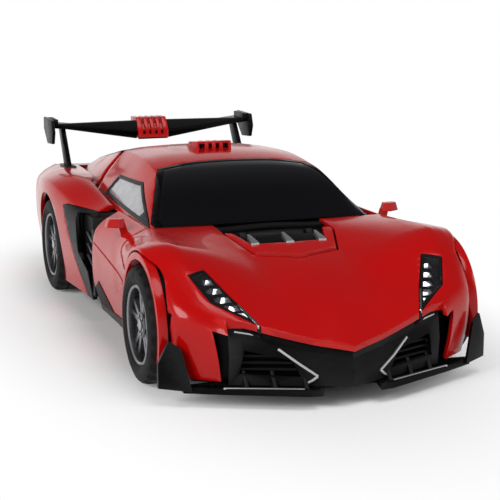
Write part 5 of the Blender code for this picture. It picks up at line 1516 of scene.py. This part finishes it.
def torso_face():
    """Front of the robot's torso, face down in the car: silver bars, fans and ribs, red blocks."""
    low, high = GROUND_GAP + 1.0, GROUND_GAP + 3.95
    front = CHEST_PIVOT + 9
    middle = front + 40
    rear = TORSO_REAR
    thigh_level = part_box("thigh_panel_left")[0].z / MM
    arm_bar = placed(((1.5, -1), (4.5, -7.5), (23, -26), (29, -25), (7.5, -1)), 0, middle)
    leg_bar = ((3.4, 15), (5.6, 15), (13, 42), (10, 43))
    fan = ((4, 0.7), (4, -0.7), (22, -2.4), (23, 1.6))
    upper_red = placed(((12, 3.5), (27, 8), (26, 13.5), (11, 9.5)), 0, front)
    lower_red = placed(((10.4, 10.6), (23, 14.4), (18.5, 18.4), (9.4, 15.6)), 0, front)
    middle_red = placed(((0.6, -12.4), (8.6, -15.4), (7.4, -9.4), (0.6, -9.8)), 0, middle)
    flank = ((38.2, middle - 6), (38.2, middle + 3), (22.4, rear - 26.4), (20, rear - 29),
             (34.6, middle + 4.5))
    thigh = ((25, rear - 24), (36.5, rear - 2), (LEG_INNER - 8, rear - 2))
    outer, inner = spread(thigh, -0.7), spread(thigh, -2.1)
    thigh_edge = (outer[0], outer[1], inner[1], inner[0])
    bars, red, ribs = [], [], []
    for _, side in SIDES:
        bars.append(sided("Z", arm_bar, side, low, high))
        for shift in (0.0, 5.2):
            bars.append(sided("Z", placed(leg_bar, shift, middle), side, low + 0.8, high))
        for blade in range(5):
            outline = rayed((11, middle + 3), -30 + blade * 19, fan)
            ribs.append(sided("Z", outline, side, low + 0.5, high))
        red.append(sided("Z", upper_red, side, low, high))
        red.append(sided("Z", lower_red, side, low, high))
        red.append(sided("Z", middle_red, side, low + 0.3, high))
        for row in range(4):
            y = front + 10.5 + row * 3.2
            ribs.append(side_bar(side, 29.5, 37, (y, low + 1.2), (y + 2.0, high + 0.4)))
        red.append(sided("Z", flank, side, TORSO_BOTTOM - 0.8, TORSO_BOTTOM + 0.6))
        red.append(sided("Z", spread(thigh, -3.0), side, thigh_level - 0.8, thigh_level + 0.3))
        ribs.append(sided("Z", thigh_edge, side, thigh_level - 0.6, thigh_level + 0.3))
    for row in range(5):
        x = -8 + row * 4
        ribs.append(bar(x, 1.3, (front + 3, low + 0.4), (front + 20 - abs(x) * 0.6, high)))
    red.append(prism("Z", ((-4.6, middle - 5.6), (4.6, middle - 5.6), (0, middle + 4)), low - 0.6, high))
    piece("torso_bars", bars, 0.5, SILVER, "torso", "chest_trim")
    piece("torso_ribs", ribs, 0.4, SILVER, "torso")
    piece("torso_red", red, 0.5, RED, "torso")


hood_panels()
cabin_panels()
rear_panels()
doors()
headlights()
cowl_vent()
mirrors()
bumper_trim()
wheels()
splitter()
wing()
wing_fin()
roof_scoop()
side_trim()
tail()
quarter_blades()
head()
torso_face()
knee_link()
leg_fronts()
arm_details()
bulkhead_trim()
underside()
inside()


FINISHES = {"headlight": CHROME, "bumper": GLOSS, "splitter": GLOSS, "face_mask": SILVER, "visor": GLASS,
            "tyre": RUBBER, "rim": RIM, "fist": SILVER, "chest_trim": SILVER, "belly_wedge": GLOSS,
            "thigh_panel": RED, "shin_panel": RED, "bulkhead_panel": RED, "spoiler_fin": RED,
            "spoiler_blade": GLOSS, "support_roller": NYLON, "lift_gearbox": NYLON, "drive_gearbox": NYLON,
            "battery": WRAP, "battery_cover": BLACK, "circuit_board": BOARD, "knee_pin": STEEL,
            "chest_pin": STEEL, "roof_pin": STEEL}


def carried_over():
    """Gives every node of the frame its finish, and every node but the bumper a small round on its edges.
    """
    hard = math.radians(40)
    for name, node in NODES.items():
        stem = max((key for key in FINISHES if name.startswith(key)), key=len, default=None)
        node.data.materials.clear()
        node.data.materials.append(FINISHES.get(stem, BLACK))
        if name == "bumper":
            # The bumper keeps its flat faces
            continue
        joined = node.modifiers.new("joined", "WELD")
        joined.merge_threshold = 0.01 * MM
        rounded = node.modifiers.new("edges", "BEVEL")
        rounded.width = 0.35 * MM
        rounded.segments = 2
        rounded.limit_method = "ANGLE"
        rounded.angle_limit = hard
        rounded.harden_normals = True
        for face in node.data.polygons:
            face.use_smooth = True
        node.data.set_sharp_from_angle(angle=hard)


carried_over()


def camera():
    """The photograph's angle on the car: a little above, to the right of its nose."""
    lens = bpy.data.cameras.new("camera")
    lens.sensor_width = 36
    lens.lens = 98
    made = bpy.data.objects.new("camera", lens)
    bpy.context.scene.collection.objects.link(made)
    azimuth, elevation, distance = math.radians(-19.3), math.radians(11.5), 0.70
    level = math.cos(elevation)
    back = Vector((math.sin(azimuth) * level, -math.cos(azimuth) * level, math.sin(elevation)))
    aim = Vector((0.009, -0.010, 0.036))
    made.location = aim + back * distance
    made.rotation_mode = "QUATERNION"
    made.rotation_quaternion = (-back).to_track_quat("-Z", "Y")
    lens.clip_start = 0.01
    bpy.context.scene.camera = made


def seen_directly(tree):
    """1 on rays that show the background: from the camera, in gloss and through glass."""
    seen = Socket(tree).node("ShaderNodeLightPath", {}, {}, "Is Camera Ray")
    path = seen.output.node
    for name in ("Is Glossy Ray", "Is Transmission Ray"):
        seen = seen.maths("MAXIMUM", seen, Socket(tree, path.outputs[name]))
    return seen


def floor():
    """Pale floor that takes the shadow near the car and fades to the white background."""
    bm = bmesh.new()
    bmesh.ops.create_circle(bm, cap_ends=True, segments=96, radius=5.0)
    made = mesh_object("floor", bm)
    paint = Finish("pale_floor")
    grain = paint.place.noise(3, 3)
    paint.set(Base_Color=grain.tint((0.88, 0.88, 0.88), (0.92, 0.92, 0.92)), Roughness=0.85)
    reach = paint.place.stretched(2.0, 1.0, 0.0)
    far = paint.place.node("ShaderNodeVectorMath", {"operation": "LENGTH"}, {0: reach}, 1).ramp(0.13, 0.30)
    near = Socket(paint.tree, paint.shader.outputs[0])
    glow = far.node("ShaderNodeEmission", {}, {"Strength": 0.7 + seen_directly(paint.tree) * 0.3})
    blend = far.node("ShaderNodeMixShader", {}, {0: far, 1: near, 2: glow})
    paint.tree.links.new(blend.output, paint.tree.nodes["Material Output"].inputs[0])
    made.data.materials.append(paint.made)


def studio():
    """White walls, a darker ceiling and three soft lamps."""
    world = bpy.data.worlds.new("studio")
    bpy.context.scene.world = world
    world.use_nodes = True
    tree = world.node_tree
    sky = tree.nodes["Background"]
    direction = Socket(tree).node("ShaderNodeTexCoord", {}, {}, "Generated")
    ceiling = direction.axis("Z").ramp(0.12, 0.55)
    wall = 0.50 + seen_directly(tree) * 0.50
    tree.links.new((wall * (1 - ceiling * 0.88)).output, sky.inputs["Strength"])
    sky.inputs["Color"].default_value = (1, 1, 1, 1)
    centre = Vector((0, 0, 0.04))
    for name, place, size, power in (("key", (-1.2, -0.6, 0.8), 0.8, 15.0),
                                     ("fill", (1.1, -0.7, 0.7), 0.6, 3.5),
                                     ("top", (0.25, -0.55, 1.5), 0.9, 10.0)):
        light = bpy.data.lights.new(name, "AREA")
        light.shape = "DISK"
        light.size = size
        light.energy = power
        lamp = bpy.data.objects.new(name, light)
        bpy.context.scene.collection.objects.link(lamp)
        lamp.location = place
        lamp.rotation_mode = "QUATERNION"
        lamp.rotation_quaternion = (centre - lamp.location).to_track_quat("-Z", "Y")


floor()
camera()
studio()
bpy.context.scene.view_settings.view_transform = "Standard"
